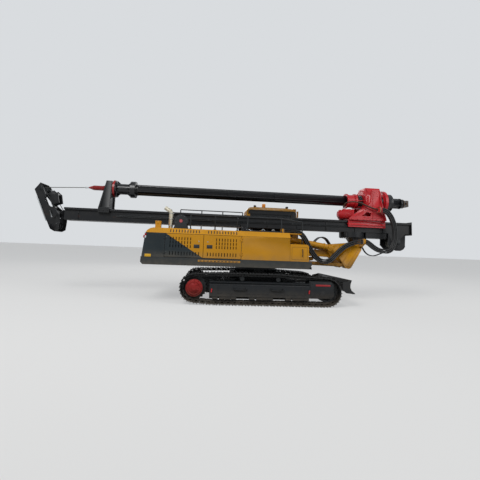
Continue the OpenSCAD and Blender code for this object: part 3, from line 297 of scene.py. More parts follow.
# Painted finishes. A colour is a hex text or the name of one in the rig's paints.
PAINTS = {
    # Two-pack enamel, sprayed and baked: warm yellow, half gloss, clean apart from a dusty sill
    "yellow enamel": dict(colour="yellow", roughness=0.36, dust_low=(1.15, 1.4), dust=0.08, specular=0.35),
    # The same enamel on the housing and its doors, with the grey panel painted behind the slanting line
    "two-tone enamel": dict(colour="yellow", roughness=0.36, dust_low=(1.15, 1.4), dust=0.08, specular=0.35,
                            second=("grey", rear_of_line)),
    # Dark grey enamel of the deck and counterweight, with a little dust low down
    "grey enamel": dict(colour="grey", roughness=0.42, dust_low=(0.95, 1.3), dust=0.04, specular=0.35),
    # Red enamel of the drive, glossier
    "red enamel": dict(colour="red", roughness=0.3, dust=0.06),
    # Red enamel of the final drives' caps, dulled by soil
    "hub enamel": dict(colour="hub_red", roughness=0.65, dust_low=(0.0, 0.5), dust=0.1, specular=0.3),
    # Air-dried black paint on the undercarriage, dull with dry soil low down
    "frame paint": dict(colour="frame_black", roughness=0.5, dust_low=(0.0, 0.45), dust=0.09, specular=0.35),
    # Black mast paint, scratched to a rusty primer in spots
    "mast paint": dict(colour="mast_black", roughness=0.4, dust=0.05, specular=0.35, chips="#35201a"),
    # Cast and forged track steel, worn dull, soil in its pits
    "track steel": dict(colour="#121314", roughness=0.55, dust_low=(0.0, 0.4), dust=0.12, specular=0.45),
    # Black semi-gloss paint on the kelly's tubes, red on its swivel and ring
    "kelly paint": dict(colour="#0d0f13", roughness=0.3, dust=0.04, second=("#8f1c1a", red_end)),
    # The same black on the drive's spring section, its flange ring left red
    "spring paint": dict(colour="#0d0f13", roughness=0.3, dust=0.04, second=("red", red_flange)),
}
# Finishes of one colour with a fine grain
PLAIN_FINISHES = {
    # Blackened steel of brackets, glands and exhaust guard
    "dark steel": dict(colour="#1b1e20", roughness=0.48, metallic=0.2, grain=0.15),
    # Bare bolt heads, dulled by weather
    "bolt steel": dict(colour="#4c4f52", roughness=0.42, metallic=0.8, grain=0.1),
    # Hard chrome of the cylinder rods
    "rod chrome": dict(colour="#d4d6d9", roughness=0.12, metallic=1.0, grain=0.02, grain_scale=200.0),
    # Aluminised steel of the exhaust pipe
    "aluminised pipe": dict(colour="#cfc8b4", roughness=0.45, metallic=0.5, grain=0.1),
    # Sand-cast iron of the engine
    "engine casting": dict(colour="#56595b", roughness=0.6, metallic=0.2, grain=0.5, grain_scale=140.0),
    # Tinted safety glass
    "tinted glass": dict(colour="#0f1518", roughness=0.04, grain_scale=1.0, Alpha=0.8),
    # Woven cloth of the chair
    "chair cloth": dict(colour="#202225", roughness=0.9, grain=0.4, grain_scale=900.0),
    # Moulded plastic and rubber with a fine texture
    "trim plastic": dict(colour="#1c1e20", roughness=0.55, grain=0.3, grain_scale=500.0),
    # Lenses of the beacon and the lamps
    "amber lens": dict(colour="#e08a1e", roughness=0.15, grain_scale=1.0),
    "red lens": dict(colour="#a3171a", roughness=0.15, grain_scale=1.0),
    "clear lens": dict(colour="#cfd6da", roughness=0.1, grain_scale=1.0),
    # Galvanised fittings and pale plates, and the pale strips painted as highlights along the head's rear
    # edges
    "zinc": dict(colour="#a9adaf", roughness=0.4, metallic=0.7, grain=0.2, grain_scale=90.0),
    # Tan nylon hose clamps
    "clamp nylon": dict(colour="#8a6b48", roughness=0.6, grain=0.1, grain_scale=120.0),
    # Kelly stub, rubbed bare and rusted to a dull tan
    "worn stub": dict(colour="#5a4632", roughness=0.6, metallic=0.3, grain=0.3),
    # Pink cap on the main winch's drum
    "rope pink": dict(colour="#b04a50", roughness=0.6, grain=0.2, grain_scale=120.0),
    # Blank plates, where the machine has printed ones
    "blank plate": dict(colour="#d4a21c", roughness=0.4, grain=0.05),
    "blank red plate": dict(colour="#9c1f22", roughness=0.4, grain=0.05),
    # Oil hoses of the drive, with a brown fire sleeve
    "brown hose": dict(colour="#4a2f22", roughness=0.5, grain=0.2, grain_scale=300.0),
    # Stranded wire rope, greased
    "wire rope": dict(colour="#55544f", roughness=0.5, metallic=0.7, grain=0.6, grain_scale=300.0),
}
# Materials made so far, by finish name
MATERIALS = {}


def colour_named(text):
    return hex_colour(text) if text.startswith("#") else tuple(getattr(bpy.context.scene.rig_paint, text))


def finish_named(key):
    """The material of that name, made on first use."""
    if key not in MATERIALS:
        if key == "hose rubber":
            MATERIALS[key] = hose_cover(key)
        else:
            build, look = (painted, PAINTS[key]) if key in PAINTS else (plain_shader, PLAIN_FINISHES[key])
            look = dict(look, colour=colour_named(look["colour"]))
            if "second" in look:
                look["second"] = (colour_named(look["second"][0]), look["second"][1])
            if "chips" in look:
                look["chips"] = colour_named(look["chips"])
            MATERIALS[key] = build(key, **look)
    return MATERIALS[key]


def deselect():
    if bpy.context.object and bpy.context.object.mode != "OBJECT":
        bpy.ops.object.mode_set(mode="OBJECT")
    bpy.ops.object.select_all(action="DESELECT")


def choose(*objs):
    deselect()
    for obj in objs:
        obj.select_set(True)
    bpy.context.view_layer.objects.active = objs[0]


def apply_modifiers(obj):
    choose(obj)
    for modifier in list(obj.modifiers):
        bpy.ops.object.modifier_apply(modifier=modifier.name)


def bevel(obj, width, segments=2, angle=35.0):
    """Rounds the edges sharper than an angle; the width is in metres."""
    m = obj.modifiers.new("edges", "BEVEL")
    m.width = width
    m.segments = segments
    m.limit_method = "ANGLE"
    m.angle_limit = math.radians(angle)
    m.harden_normals = False
    apply_modifiers(obj)
    return obj


def smooth(obj, angle=35.0):
    choose(obj)
    bpy.ops.object.shade_smooth_by_angle(angle=math.radians(angle))
    return obj


def seat(obj):
    """Puts the object's place, turn and size into its mesh."""
    choose(obj)
    bpy.ops.object.transform_apply(location=True, rotation=True, scale=True)
    return obj


def at(x, y, z):
    """A place in metres from millimetres off the slew axis."""
    return Vector((SLEW_X + x / 1000, y / 1000, z / 1000))


def block(x0, x1, y0, y1, z0, z1, edge=3.0):
    """Bar of metal with rounded edges, in millimetres."""
    deselect()
    low, high = at(x0, y0, z0), at(x1, y1, z1)
    bpy.ops.mesh.primitive_cube_add(size=1, location=(low + high) / 2)
    obj = bpy.context.object
    obj.scale = high - low
    seat(obj)
    return bevel(obj, edge / 1000) if edge else obj


def round_bar(a, b, r, sides=20, r2=None, edge=0.0):
    """Round bar or cone between two places, radius in millimetres."""
    deselect()
    way = b - a
    lie = dict(vertices=sides, depth=way.length, location=(a + b) / 2,
               rotation=way.to_track_quat("Z", "Y").to_euler())
    if r2 is None:
        bpy.ops.mesh.primitive_cylinder_add(radius=r / 1000, **lie)
    else:
        bpy.ops.mesh.primitive_cone_add(radius1=r / 1000, radius2=r2 / 1000, **lie)
    obj = seat(bpy.context.object)
    return bevel(obj, edge / 1000) if edge else obj


def across(x, z, y0, y1, r, sides=24, edge=0.0):
    """Round bar along y."""
    return round_bar(at(x, y0, z), at(x, y1, z), r, sides, None, edge)


def along(x0, x1, y, z, r, sides=24, edge=0.0):
    """Round bar along x."""
    return round_bar(at(x0, y, z), at(x1, y, z), r, sides, None, edge)


def plate(points, y0, y1, edge=3.0):
    """Plate cut to an outline of [x, z], between two widths."""
    deselect()
    bpy.ops.mesh.primitive_circle_add(vertices=len(points), radius=1, fill_type="NGON")
    obj = bpy.context.object
    for vertex, (x, z) in zip(obj.data.vertices, points):
        vertex.co = at(x, y0, z)
    bpy.ops.object.mode_set(mode="EDIT")
    bpy.ops.mesh.select_all(action="SELECT")
    bpy.ops.mesh.extrude_region_move(TRANSFORM_OT_translate={"value": (0, (y1 - y0) / 1000, 0)})
    bpy.ops.mesh.select_all(action="SELECT")
    bpy.ops.mesh.normals_make_consistent(inside=False)
    bpy.ops.object.mode_set(mode="OBJECT")
    return bevel(obj, edge / 1000) if edge else obj


def turned(outline, centre, axis, sides=40):
    """Ring spun about an axis through centre, from a closed outline of (along, radius) in millimetres."""
    deselect()
    bpy.ops.mesh.primitive_circle_add(vertices=len(outline), radius=1, fill_type="NOTHING")
    obj = bpy.context.object
    way = Vector(axis)
    out = Vector((0, 0, 1))
    for vertex, (step, r) in zip(obj.data.vertices, outline):
        vertex.co = centre + way * (step / 1000) + out * (r / 1000)
    bpy.ops.object.mode_set(mode="EDIT")
    bpy.ops.mesh.select_all(action="SELECT")
    bpy.ops.mesh.spin(steps=sides, angle=math.tau, center=centre, axis=way)
    bpy.ops.mesh.select_all(action="SELECT")
    bpy.ops.mesh.remove_doubles(threshold=0.00005)
    bpy.ops.mesh.select_all(action="SELECT")
    bpy.ops.mesh.normals_make_consistent(inside=False)
    bpy.ops.object.mode_set(mode="OBJECT")
    return obj


def moved_by(x, y, z):
    """A move in metres."""
    return Matrix.Translation(Vector((x, y, z)))


# Brings a shape that was made at the slew axis to the frame's middle
TO_MIDDLE = moved_by(-SLEW_X, 0, 0)


def twin(obj, matrix):
    """A copy with its own mesh, moved by a matrix."""
    copy = obj.copy()
    copy.data = obj.data.copy()
    bpy.context.collection.objects.link(copy)
    copy.data.transform(matrix)
    if matrix.determinant() < 0:
        choose(copy)
        bpy.ops.object.mode_set(mode="EDIT")
        bpy.ops.mesh.select_all(action="SELECT")
        bpy.ops.mesh.flip_normals()
        bpy.ops.object.mode_set(mode="OBJECT")
    return copy


def joined(*parts):
    """All parts as one object."""
    if len(parts) > 1:
        choose(*parts)
        bpy.ops.object.join()
    return parts[0]


def row(obj, *steps):
    """The object and its copies at each step in millimetres, as one."""
    return joined(obj, *[twin(obj, Matrix.Translation(Vector(s) / 1000)) for s in steps])


def spaced(obj, count, x=0, y=0, z=0):
    """The object repeated to that count at one pitch in millimetres, as one."""
    return row(obj, *[(i * x, i * y, i * z) for i in range(1, count)])


def both_sides(*parts):
    """The parts and their mirror image across the middle plane, as one."""
    obj = joined(*parts)
    return joined(obj, twin(obj, Matrix.Scale(-1, 4, LEFT)))


def round_about(obj, centre, axis, count, span=math.tau):
    """The object repeated about an axis, as one."""
    out, back = Matrix.Translation(-centre), Matrix.Translation(centre)
    turns = [Matrix.Rotation(span * i / count, 4, axis) for i in range(1, count)]
    return joined(obj, *[twin(obj, back @ turn @ out) for turn in turns])


def bolt(place, way, size=24.0, height=14.0):
    """Hexagon bolt head with its washer, standing out along way."""
    way = Vector(way)
    head = round_bar(place, place + way * (height / 1000), size / 2, 6, None, 1.5)
    washer = round_bar(place, place + way * (height / 4000), size * 0.68, 14)
    return joined(head, washer)


def bolt_ring(centre, way, radius, count, size=24.0, height=14.0):
    """Bolts that stand out along way, a positive or negative axis, on a circle about it."""
    first = bolt(centre + Vector((0, 0, radius / 1000)), way, size, height)
    return round_about(first, centre, "XYZ"[[abs(step) for step in way].index(1)], count)


def finished(obj, name, key, crease):
    """Names a piece and gives it its finish."""
    obj.name = name
    obj.data.name = name
    obj.data.materials.clear()
    obj.data.materials.append(finish_named(key))
    smooth(obj, crease)


def hand_over(obj, name, body, key, *nodes, slot=None, crease=38.0):
    """Finishes a piece, puts it under its body and hides the nodes that it stands for. slot is not used."""
    finished(obj, name, key, crease)
    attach(obj, body)
    if nodes:
        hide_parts(*nodes)
    return obj


def body_of_node(name):
    for body, names in frame["record"]["behaviour"]["bodies"].items():
        if name in names:
            return body
    raise KeyError(name)


def slot_of_node(name):
    for part in frame["record"]["subparts"]:
        if part["node"] == name:
            return part["material_slot"]
    raise KeyError(name)


def smooth_copy(name, key):
    """A merged, smooth-shaded copy of a CAD node, which stands for the node."""
    source = frame["nodes"][name]
    copy = source.copy()
    copy.data = source.data.copy()
    bpy.context.collection.objects.link(copy)
    copy.parent = None
    copy.matrix_world = source.matrix_world
    choose(copy)
    bpy.ops.object.mode_set(mode="EDIT")
    bpy.ops.mesh.select_all(action="SELECT")
    bpy.ops.mesh.remove_doubles(threshold=0.00002)
    bpy.ops.object.mode_set(mode="OBJECT")
    return hand_over(copy, name + "_dressed", body_of_node(name), key, name, slot=slot_of_node(name),
                     crease=24.0)


def cut_through(obj, outline, y0, y1):
    """Cuts a window with that outline of [x, z] through the piece between y0 and y1."""
    cutter = plate(outline, y0, y1, 0)
    cut = obj.modifiers.new("window", "BOOLEAN")
    cut.operation = "DIFFERENCE"
    cut.object = cutter
    apply_modifiers(obj)
    bpy.data.objects.remove(cutter)
    smooth(obj, 24.0)


def smooth_route(points, steps=6):
    """Points along a smooth curve through the given ones."""
    out = []
    last = len(points) - 1
    for i in range(last):
        p0, p1, p2, p3 = (Vector(points[max(0, min(last, j))]) for j in (i - 1, i, i + 1, i + 2))
        for k in range(steps):
            t = k / steps
            curve = (2 * p1) + (p2 - p0) * t + (2 * p0 - 5 * p1 + 4 * p2 - p3) * t ** 2
            out.append(0.5 * (curve + (3 * p1 - p0 - 3 * p2 + p3) * t ** 3))
    out.append(Vector(points[last]))
    return out


def tube(path, r, resolution=3):
    """Mesh tube of radius r in metres along a path of points."""
    deselect()
    curve = bpy.data.curves.new("route", "CURVE")
    curve.dimensions = "3D"
    curve.bevel_depth = r
    curve.bevel_resolution = resolution
    curve.use_fill_caps = True
    spline = curve.splines.new("POLY")
    spline.points.add(len(path) - 1)
    for point, place in zip(spline.points, path):
        point.co = tuple(place) + (1.0,)
    obj = bpy.data.objects.new("route", curve)
    bpy.context.collection.objects.link(obj)
    choose(obj)
    bpy.ops.object.convert(target="MESH")
    return bpy.context.object


def offset_route(route, shift):
    """The [x, z] route moved sideways by shift in its own plane."""
    out = []
    for i, p in enumerate(route):
        way = (route[min(i + 1, len(route) - 1)] - route[max(i - 1, 0)]).normalized()
        out.append(p + Vector((-way.y, way.x)) * shift)
    return out


def hose_run(name, route, y, r, node_name):
    """One hose along an [x, z] route in millimetres."""
    path = [at(p[0], y, p[1]) for p in route]
    obj = tube(path, r)
    finished(obj, name, "hose rubber", 60.0)
    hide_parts(node_name)
    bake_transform(obj)
    return obj


# Routes of the hoses as [x, z]
HOSE_Y = -570
HOSE_TOP = 2046
LOOP_REAR = [[700, HOSE_TOP], [850, HOSE_TOP], [1000, HOSE_TOP], [1130, HOSE_TOP], [1250, 2000],
             [1345, 1900], [1440, 1745], [1535, 1570], [1650, 1400], [1780, 1275], [1890, 1220],
             [1950, 1210], [2000, 1210]]
LOOP_FRONT = [[2000, 1210], [2050, 1210], [2170, 1265], [2300, 1390], [2450, 1540], [2600, 1660],
              [2780, 1760], [2960, 1815], [3100, 1840], [3180, 1840]]
DROP_LOWER = [[3240, 1840], [3290, 1840], [3390, 1780], [3510, 1690], [3650, 1615], [3790, 1585],
              [3850, 1580], [3900, 1580]]
DROP_UPPER = [[3900, 1580], [3950, 1580], [4050, 1630], [4140, 1750], [4195, 1930], [4210, 2150],
              [4175, 2390], [4100, 2600], [4000, 2745], [3890, 2820], [3830, 2840], [3780, 2840]]
WINCH_ROUTE = [[3215, 1670], [3250, 1670], [3310, 1570], [3400, 1480], [3510, 1437], [3640, 1435],
               [3800, 1490], [3960, 1560], [4100, 1640], [4220, 1725], [4290, 1760], [4330, 1760]]
BOOM_ROUTE = [[1700, 1610], [1740, 1610], [1800, 1700], [1880, 1840], [1990, 1930], [2110, 1950],
              [2220, 1905], [2300, 1810], [2350, 1720], [2350, 1680]]


class RIG_OT_stage(bpy.types.Operator):
    """Adds the floor, the backdrop, the lamps and the camera"""
    bl_idname = "rig.stage"
    bl_label = "Stage"

    def execute(self, context):
        view = context.scene.rig_stage
        deselect()
        bpy.ops.mesh.primitive_plane_add(size=600, location=(0, 0, 0))
        floor = context.object
        floor.name = "floor"
        m, t = start_material("studio floor")
        # Pale matt floor: for the camera part of its light is its own, so it meets the backdrop, and the rest
        # takes the shadow
        seen = node(t, "ShaderNodeLightPath")
        lit = node(t, "ShaderNodeBsdfDiffuse", Color=hex_colour("#8f8e8c"), Roughness=1.0)
        own = node(t, "ShaderNodeEmission", Color=hex_colour("#dfe0e1"), Strength=0.55)
        both = node(t, "ShaderNodeAddShader", {0: (lit, 0), 1: (own, 0)})
        rays = maths(t, "MAXIMUM", (seen, "Is Camera Ray"), (seen, "Is Glossy Ray"))
        rays = maths(t, "MAXIMUM", (rays, 0), (seen, "Is Transmission Ray"))
        pick = node(t, "ShaderNodeMixShader", {0: (rays, 0), 1: (lit, 0), 2: (both, 0)})
        end_material(t, pick)
        floor.data.materials.append(m)
        world = bpy.data.worlds.new("studio")
        context.scene.world = world
        world.use_nodes = True
        tree = world.node_tree
        tree.nodes.clear()
        seen = node(tree, "ShaderNodeLightPath")
        light = node(tree, "ShaderNodeBackground", Strength=0.6, Color=hex_colour("#e4e9ee"))
        back = node(tree, "ShaderNodeBackground", Strength=1.0, Color=hex_colour("#d9dcdf"))
        rays = maths(tree, "MAXIMUM", (seen, "Is Camera Ray"), (seen, "Is Transmission Ray"))
        pick = node(tree, "ShaderNodeMixShader", {0: (rays, 0), 1: (light, 0), 2: (back, 0)})
        out = tree.nodes.new("ShaderNodeOutputWorld")
        tree.links.new(pick.outputs[0], out.inputs["Surface"])
        # Name, place in metres, power in watts and width of each lamp
        lamps = (("key", (-6, -12, 12), 1500, 7), ("fill", (11, -9, 7), 450, 8),
                 ("rear", (0, 12, 10), 700, 10))
        for name, place, energy, size in lamps:
            lamp = bpy.data.lights.new(name, "AREA")
            lamp.energy = energy
            lamp.size = size
            holder = bpy.data.objects.new(name, lamp)
            context.collection.objects.link(holder)
            holder.location = place
            holder.rotation_euler = (Vector((0, 0, 1.5)) - Vector(place)).to_track_quat("-Z", "Y").to_euler()
        # The photograph's side in pixels, and how far the camera's axis passes above its centre
        photo_px, raised_px = 480.0, 26.5
        camera = bpy.data.cameras.new("photo camera")
        camera.sensor_width = 36.0
        camera.lens = camera.sensor_width * view.focal_px / photo_px
        camera.shift_y = -raised_px / photo_px
        camera.dof.use_dof = False
        holder = bpy.data.objects.new("photo camera", camera)
        context.collection.objects.link(holder)
        ahead = Vector((math.sin(view.yaw), math.cos(view.yaw), 0))
        forward = ahead * math.cos(view.pitch) + Vector((0, 0, math.sin(view.pitch)))
        level = Vector((math.cos(view.yaw), -math.sin(view.yaw), 0))
        upward = level.cross(forward)
        right = level * math.cos(view.roll) + upward * math.sin(view.roll)
        top = -level * math.sin(view.roll) + upward * math.cos(view.roll)
        turn = Matrix((right, top, -forward)).transposed().to_4x4()
        holder.matrix_world = Matrix.Translation(Vector(view.eye)) @ turn
        context.scene.camera = holder
        context.scene.view_settings.view_transform = "Standard"
        return {"FINISHED"}


class RIG_OT_hoses(bpy.types.Operator):
    """Lays the single hoses of the wide bundles, of the boom and of the auxiliary winch"""
    bl_idname = "rig.hoses"
    bl_label = "Hoses"

    def execute(self, context):
        sizes = context.scene.rig_sizes
        bundles = (
            ("loop_rear", LOOP_REAR, ("upper_body", "boom_body"), "hose_loop_rear"),
            ("loop_front", LOOP_FRONT, ("boom_body", "bracket_body"), "hose_loop_front"),
            ("drop_lower", DROP_LOWER, ("bracket_body", "mast_body"), "hose_drop_lower"),
            ("drop_upper", DROP_UPPER, ("mast_body", "drive_body"), "hose_drop_upper"),
        )
        # Offsets of a bundle's three layers, and of the three hoses in a layer
        layers, beside = (-47, 0, 47), (-40, 0, 40)
        for name, points, bodies, stands_for in bundles:
            middle = smooth_route(points)
            for i, shift in enumerate(layers):
                line = offset_route(middle, shift)
                for j, y in enumerate(beside):
                    # At most 40 cords may be declared, so the hidden middle hose of each bundle is not
                    hose_run(f"{name}_{i}{j}", line, HOSE_Y + y, sizes.hose / 2, stands_for)
        for i, y in enumerate((-400, -350)):
            hose_run(f"winch_hose_{i}", smooth_route(WINCH_ROUTE), y, sizes.winch_hose / 2,
                     "winch_hoses")
        for i, y in enumerate((-100, -50, 0, 50, 100)):
            hose_run(f"boom_hose_{i}", smooth_route(BOOM_ROUTE), y, sizes.boom_hose / 2,
                     "boom_hoses")
        return {"FINISHED"}


# Crawler belt in millimetres: its radius round each wheel, the wheels' centres, and its number of plates
TRACK_R = 372
LOOP = ((1800, 400), (453, 470), (-534, 470), (-1800, 435), (-1300, 400))
SHOES = 56


class RIG_OT_carried(bpy.types.Operator):
    """Gives the frame's own pieces a smooth surface and their finish"""
    bl_idname = "rig.carried"
    bl_label = "Carried over pieces"

    def execute(self, context):
        finish_of_slot = {
            "yellow_paint": "yellow enamel", "grey_paint": "grey enamel", "red_paint": "red enamel",
            "hub_paint": "hub enamel", "kelly_steel": "kelly paint", "pipe_metal": "aluminised pipe",
            "engine_paint": "engine casting", "window_glass": "tinted glass",
        }
        doors = {f"door_{side}_{end}": "two-tone enamel" for side in ("right", "left")
                 for end in ("rear", "front")}
        own_finish = dict(doors, hood="two-tone enamel", drive_spring="spring paint")
        remade = ("operator_chair", "track_right", "track_left")
        for name in sorted(frame["nodes"]):
            slot = slot_of_node(name)
            if slot == "hose_rubber" or name in remade:
                continue
            copy = smooth_copy(name, own_finish.get(name) or finish_of_slot.get(slot, slot.replace("_", " ")))
            if name == "mast_head":
                self.head_windows(copy)
        return {"FINISHED"}

    def head_windows(self, head):
        """Weight-saving windows through the head's plates. The camera looks through the upper ones at a
        slant, so each slab's window is shifted along the line of sight."""
        near = [(-6251, 2785), (-6204, 2808), (-6050, 2625), (-6000, 2495), (-6045, 2485), (-6139, 2545),
                (-6221, 2690)]
        far = [(-6440, 2840), (-6390, 2865), (-6266, 2667), (-6225, 2549), (-6290, 2547), (-6385, 2650),
               (-6430, 2750)]
        lower = [(-6075, 2400), (-6000, 2385), (-5965, 2205), (-6020, 2200)]
        right_plate, left_plate = (-400, -180), (180, 400)
        cut_through(head, near, *right_plate)
        cut_through(head, [(x - 63, z + 15) for x, z in near], -180, 0)
        cut_through(head, [(x - 180, z + 45) for x, z in near], 0, 180)
        cut_through(head, far, *left_plate)
        cut_through(head, lower, *right_plate)
        cut_through(head, lower, *left_plate)


class RIG_OT_undercarriage(bpy.types.Operator):
    """Adds the bolts, plates, ledges and guards of the undercarriage"""
    bl_idname = "rig.undercarriage"
    bl_label = "Undercarriage fittings"

    def execute(self, context):
        count = context.scene.rig_sizes.hub_bolts
        hub = at(HUB[0], -1385, HUB[1])
        bolts = bolt_ring(at(HUB[0], -1370, HUB[1]), RIGHT, 203, count, 20, 10)
        inner = bolt_ring(hub, RIGHT, 120, 8, 18, 9)
        hand_over(both_sides(bolts, inner), "hub_bolts", "undercarriage", "hub enamel")
        rim = turned([(0, 150), (0, 172), (-7, 168), (-7, 154)], hub, LEFT, 40)
        boss = turned([(0, 10), (0, 62), (-9, 56), (-9, 10)], hub, LEFT, 32)
        hand_over(both_sides(rim, boss), "hub_rings", "undercarriage", "hub enamel")
        # Ledge along the frame's top edge, lip below it, raised field, roller guards and steps
        ledge = plate([(-1400, 596), (1290, 596), (1290, 612), (-1400, 612)], -FRAME_Y - 22, -FRAME_Y, 3)
        lower = block(-1390, 1285, -FRAME_Y - 12, -FRAME_Y, 226, 246)
        field = joined(*[block(-1180, 1180, -FRAME_Y - 5, -FRAME_Y, z, z + 10, 1) for z in (300, 520)],
                       *[block(x, x + 10, -FRAME_Y - 5, -FRAME_Y, 300, 530, 1) for x in (-1180, 1170)])
        guard = plate([(-180, 226), (180, 226), (150, 150), (-150, 150)], -FRAME_Y + 4, -FRAME_Y + 14, 2)
        guards = row(guard, (980, 0, 0), (-980, 0, 0))
        step = joined(block(-760, -420, -FRAME_Y - 60, -FRAME_Y, 404, 420),
                      block(-760, -744, -FRAME_Y - 60, -FRAME_Y, 404, 470),
                      block(-436, -420, -FRAME_Y - 60, -FRAME_Y, 404, 470))
        steps = row(step, (1000, 0, 0))
        hand_over(both_sides(ledge, lower, field, guards, steps), "track_frame_trim", "undercarriage",
                  "frame paint")
        # Chain adjuster's cover on the idler's yoke, with its hatch and bolts
        cover = plate([(1330, 240), (1900, 240), (1960, 310), (1960, 590), (1890, 672), (1330, 672)],
                      -1350, -1340, 4)
        hatch = block(1590, 1730, -1356, -1350, 300, 420, 3)
        places = ((1370, 285), (1370, 625), (1870, 285), (1905, 600), (1600, 310), (1720, 410))
        heads = [bolt(at(x, -1350, z), RIGHT, 24, 12) for x, z in places]
        hand_over(both_sides(cover, hatch, *heads), "idler_covers", "undercarriage", "frame paint")
        blank = block(1462, 1872, -1356, -1350, 556, 604, 2)
        hand_over(both_sides(blank), "blank_red_plates", "undercarriage", "blank red plate")
        horn = plate([(-1362, 350), (-1330, 350), (-1322, 420), (-1352, 430)], -FRAME_Y - 22, -FRAME_Y - 8, 3)
        hook = joined(block(-1362, -1330, -FRAME_Y - 26, -FRAME_Y, 330, 350, 4), horn)
        hand_over(both_sides(row(hook, (2630, 0, 15))), "tie_hooks", "undercarriage", "red enamel",
                  slot="hub_paint")
        # Ends of the chain's joint pins, on both chains
        pin = across(0, 0, 95, 112, 15, 10)
        pin.data.transform(TO_MIDDLE)
        # How far the pins lie inside the plates' face, and from one end of a pin to the other, in metres
        pin_depth, pin_span = 0.053, 0.207
        pins = []
        joints = self.belt()
        self.shoes(joints)
        for x, z, angle in joints:
            turned_with_belt = Matrix.Translation(at(x, 0, z)) @ Matrix.Rotation(-angle, 4, "Y")
            inward = turned_with_belt @ moved_by(0, 0, -pin_depth)
            for y in (-TRACK_Y, TRACK_Y):
                pins += [twin(pin, moved_by(0, end, 0) @ inward) for end in (y / 1000, y / 1000 - pin_span)]
        bpy.data.objects.remove(pin)
        hand_over(joined(*pins), "chain_pins", "undercarriage", "track steel")
        # Ring of the slew bearing's bolts
        head = bolt(at(642, 0, 900), UP, 24, 14)
        hand_over(round_about(head, at(0, 0, 900), "Z", 36), "slew_bolts", "undercarriage", "bolt steel")
        return {"FINISHED"}

    def shoes(self, joints):
        """Separate plates with three lugs each, on waisted links, in place of each plain loop."""
        half = (Vector(joints[1][:2]) - Vector(joints[0][:2])).length / 2
        lugs = []
        for centre, height in ((-0.28 * half, 28), (0.22 * half, 16), (0.72 * half, 28)):
            lugs += [(centre - 12, 0), (centre - 6, height), (centre + 6, height), (centre + 12, 0)]
        rear = [(2 - half, -18), (2 - half, -5), (8 - half, 0)]
        front = [(half - 8, 0), (half - 2, -5), (half - 2, -18)]
        sole = plate(rear + lugs + front, -250, 250, 1.5)
        foot = [(half - 2, -18), (half - 2, -76), (half - 16, -88), (16 - half, -88), (2 - half, -76),
                (2 - half, -18)]
        waist = [(-34, -18), (-24, -46), (24, -46), (34, -18)]
        link = plate(foot + waist, -100, -40, 2)
        link = row(link, (0, 140, 0))
        heads = row(round_bar(at(20, -62, -2), at(20, -62, 11), 14, 6), (0, 124, 0), (44, 0, 0), (44, 124, 0))
        unit = joined(sole, link, heads)
        unit.data.transform(TO_MIDDLE)
        for side, y in (("right", -TRACK_Y), ("left", TRACK_Y)):
            parts = []
            for (ax, az, _), (bx, bz, _) in zip(joints, joints[1:] + joints[:1]):
                angle = math.atan2(bz - az, bx - ax) + math.pi
                middle = Matrix.Translation(at((ax + bx) / 2, y, (az + bz) / 2))
                parts.append(twin(unit, middle @ Matrix.Rotation(-angle, 4, "Y")))
            hand_over(joined(*parts), f"track_{side}_shoes", "undercarriage", "track steel", f"track_{side}")
        bpy.data.objects.remove(unit)
        # Sprocket teeth between the links, and the inner rock guards beside the rollers
        wheel, corners = [], 42
        for i in range(corners):
            r, a = (338, 300)[i % 2], math.tau * (i + 0.5) / corners
            wheel.append((HUB[0] + r * math.cos(a), HUB[1] + r * math.sin(a)))
        hand_over(both_sides(plate(wheel, -1180, -1120, 3)), "sprocket_teeth", "undercarriage", "track steel")
        guard = block(-1395, 1285, -983, -973, 124, 232)
        hand_over(both_sides(guard), "rock_guards", "undercarriage", "frame paint")

    def belt(self):
        """Each plate's place and the belt's direction there, in millimetres and radians."""
        wheels = [Vector(p) for p in LOOP]
        n = len(wheels)
        edges = [wheels[(i + 1) % n] - wheels[i] for i in range(n)]
        angles = [math.atan2(e.y, e.x) for e in edges]
        runs = []
        for i in range(n):
            runs.append(("line", i, edges[i].length))
            turn = (angles[(i + 1) % n] - angles[i]) % math.tau
            runs.append(("arc", (i + 1) % n, TRACK_R * turn))
        pitch = sum(r[2] for r in runs) / SHOES
        out = []
        for k in range(SHOES):
            s = k * pitch
            for kind, i, length in runs:
                if s <= length:
                    break
                s -= length
            if kind == "line":
                a = angles[i]
                ahead, out_of_loop = Vector((math.cos(a), math.sin(a))), Vector((math.sin(a), -math.cos(a)))
                p = wheels[i] + ahead * s + TRACK_R * out_of_loop
                out.append((p.x, p.y, a + math.pi))
            else:
                a = angles[i - 1] - math.pi / 2 + s / TRACK_R
                p = wheels[i] + TRACK_R * Vector((math.cos(a), math.sin(a)))
                out.append((p.x, p.y, a + math.pi / 2 + math.pi))
        return out


class RIG_OT_blade(bpy.types.Operator):
    """Adds the blade's ribs and bolts, and its cylinders' glands"""
    bl_idname = "rig.blade"
    bl_label = "Blade fittings"

    def execute(self, context):
        rib = plate([(2330, 640), (2405, 640), (2398, 420), (2330, 500)], -6, 6, 2)
        ribs = row(rib, (0, -1150, 0), (0, -800, 0), (0, 800, 0), (0, 1150, 0))
        heads = bolt(at(2488, -1250, 392), (0.3, 0, 1), 24, 10)
        heads = spaced(heads, 11, y=250)
        hand_over(joined(ribs, heads), "blade_ribs", "blade_body", "track steel")
        gland_at, (foot, eye) = 700, BLADE_CYLINDER
        way = (eye - foot).normalized()
        parts = []
        for y in (-200, 200):
            a, b = foot + way * (gland_at - 45), foot + way * (gland_at + 4)
            parts.append(round_bar(at(a.x, y, a.y), at(b.x, y, b.y), 58, 28, None, 4))
        hand_over(joined(*parts), "blade_glands", "blade_barrels", "dark steel")
        return {"FINISHED"}


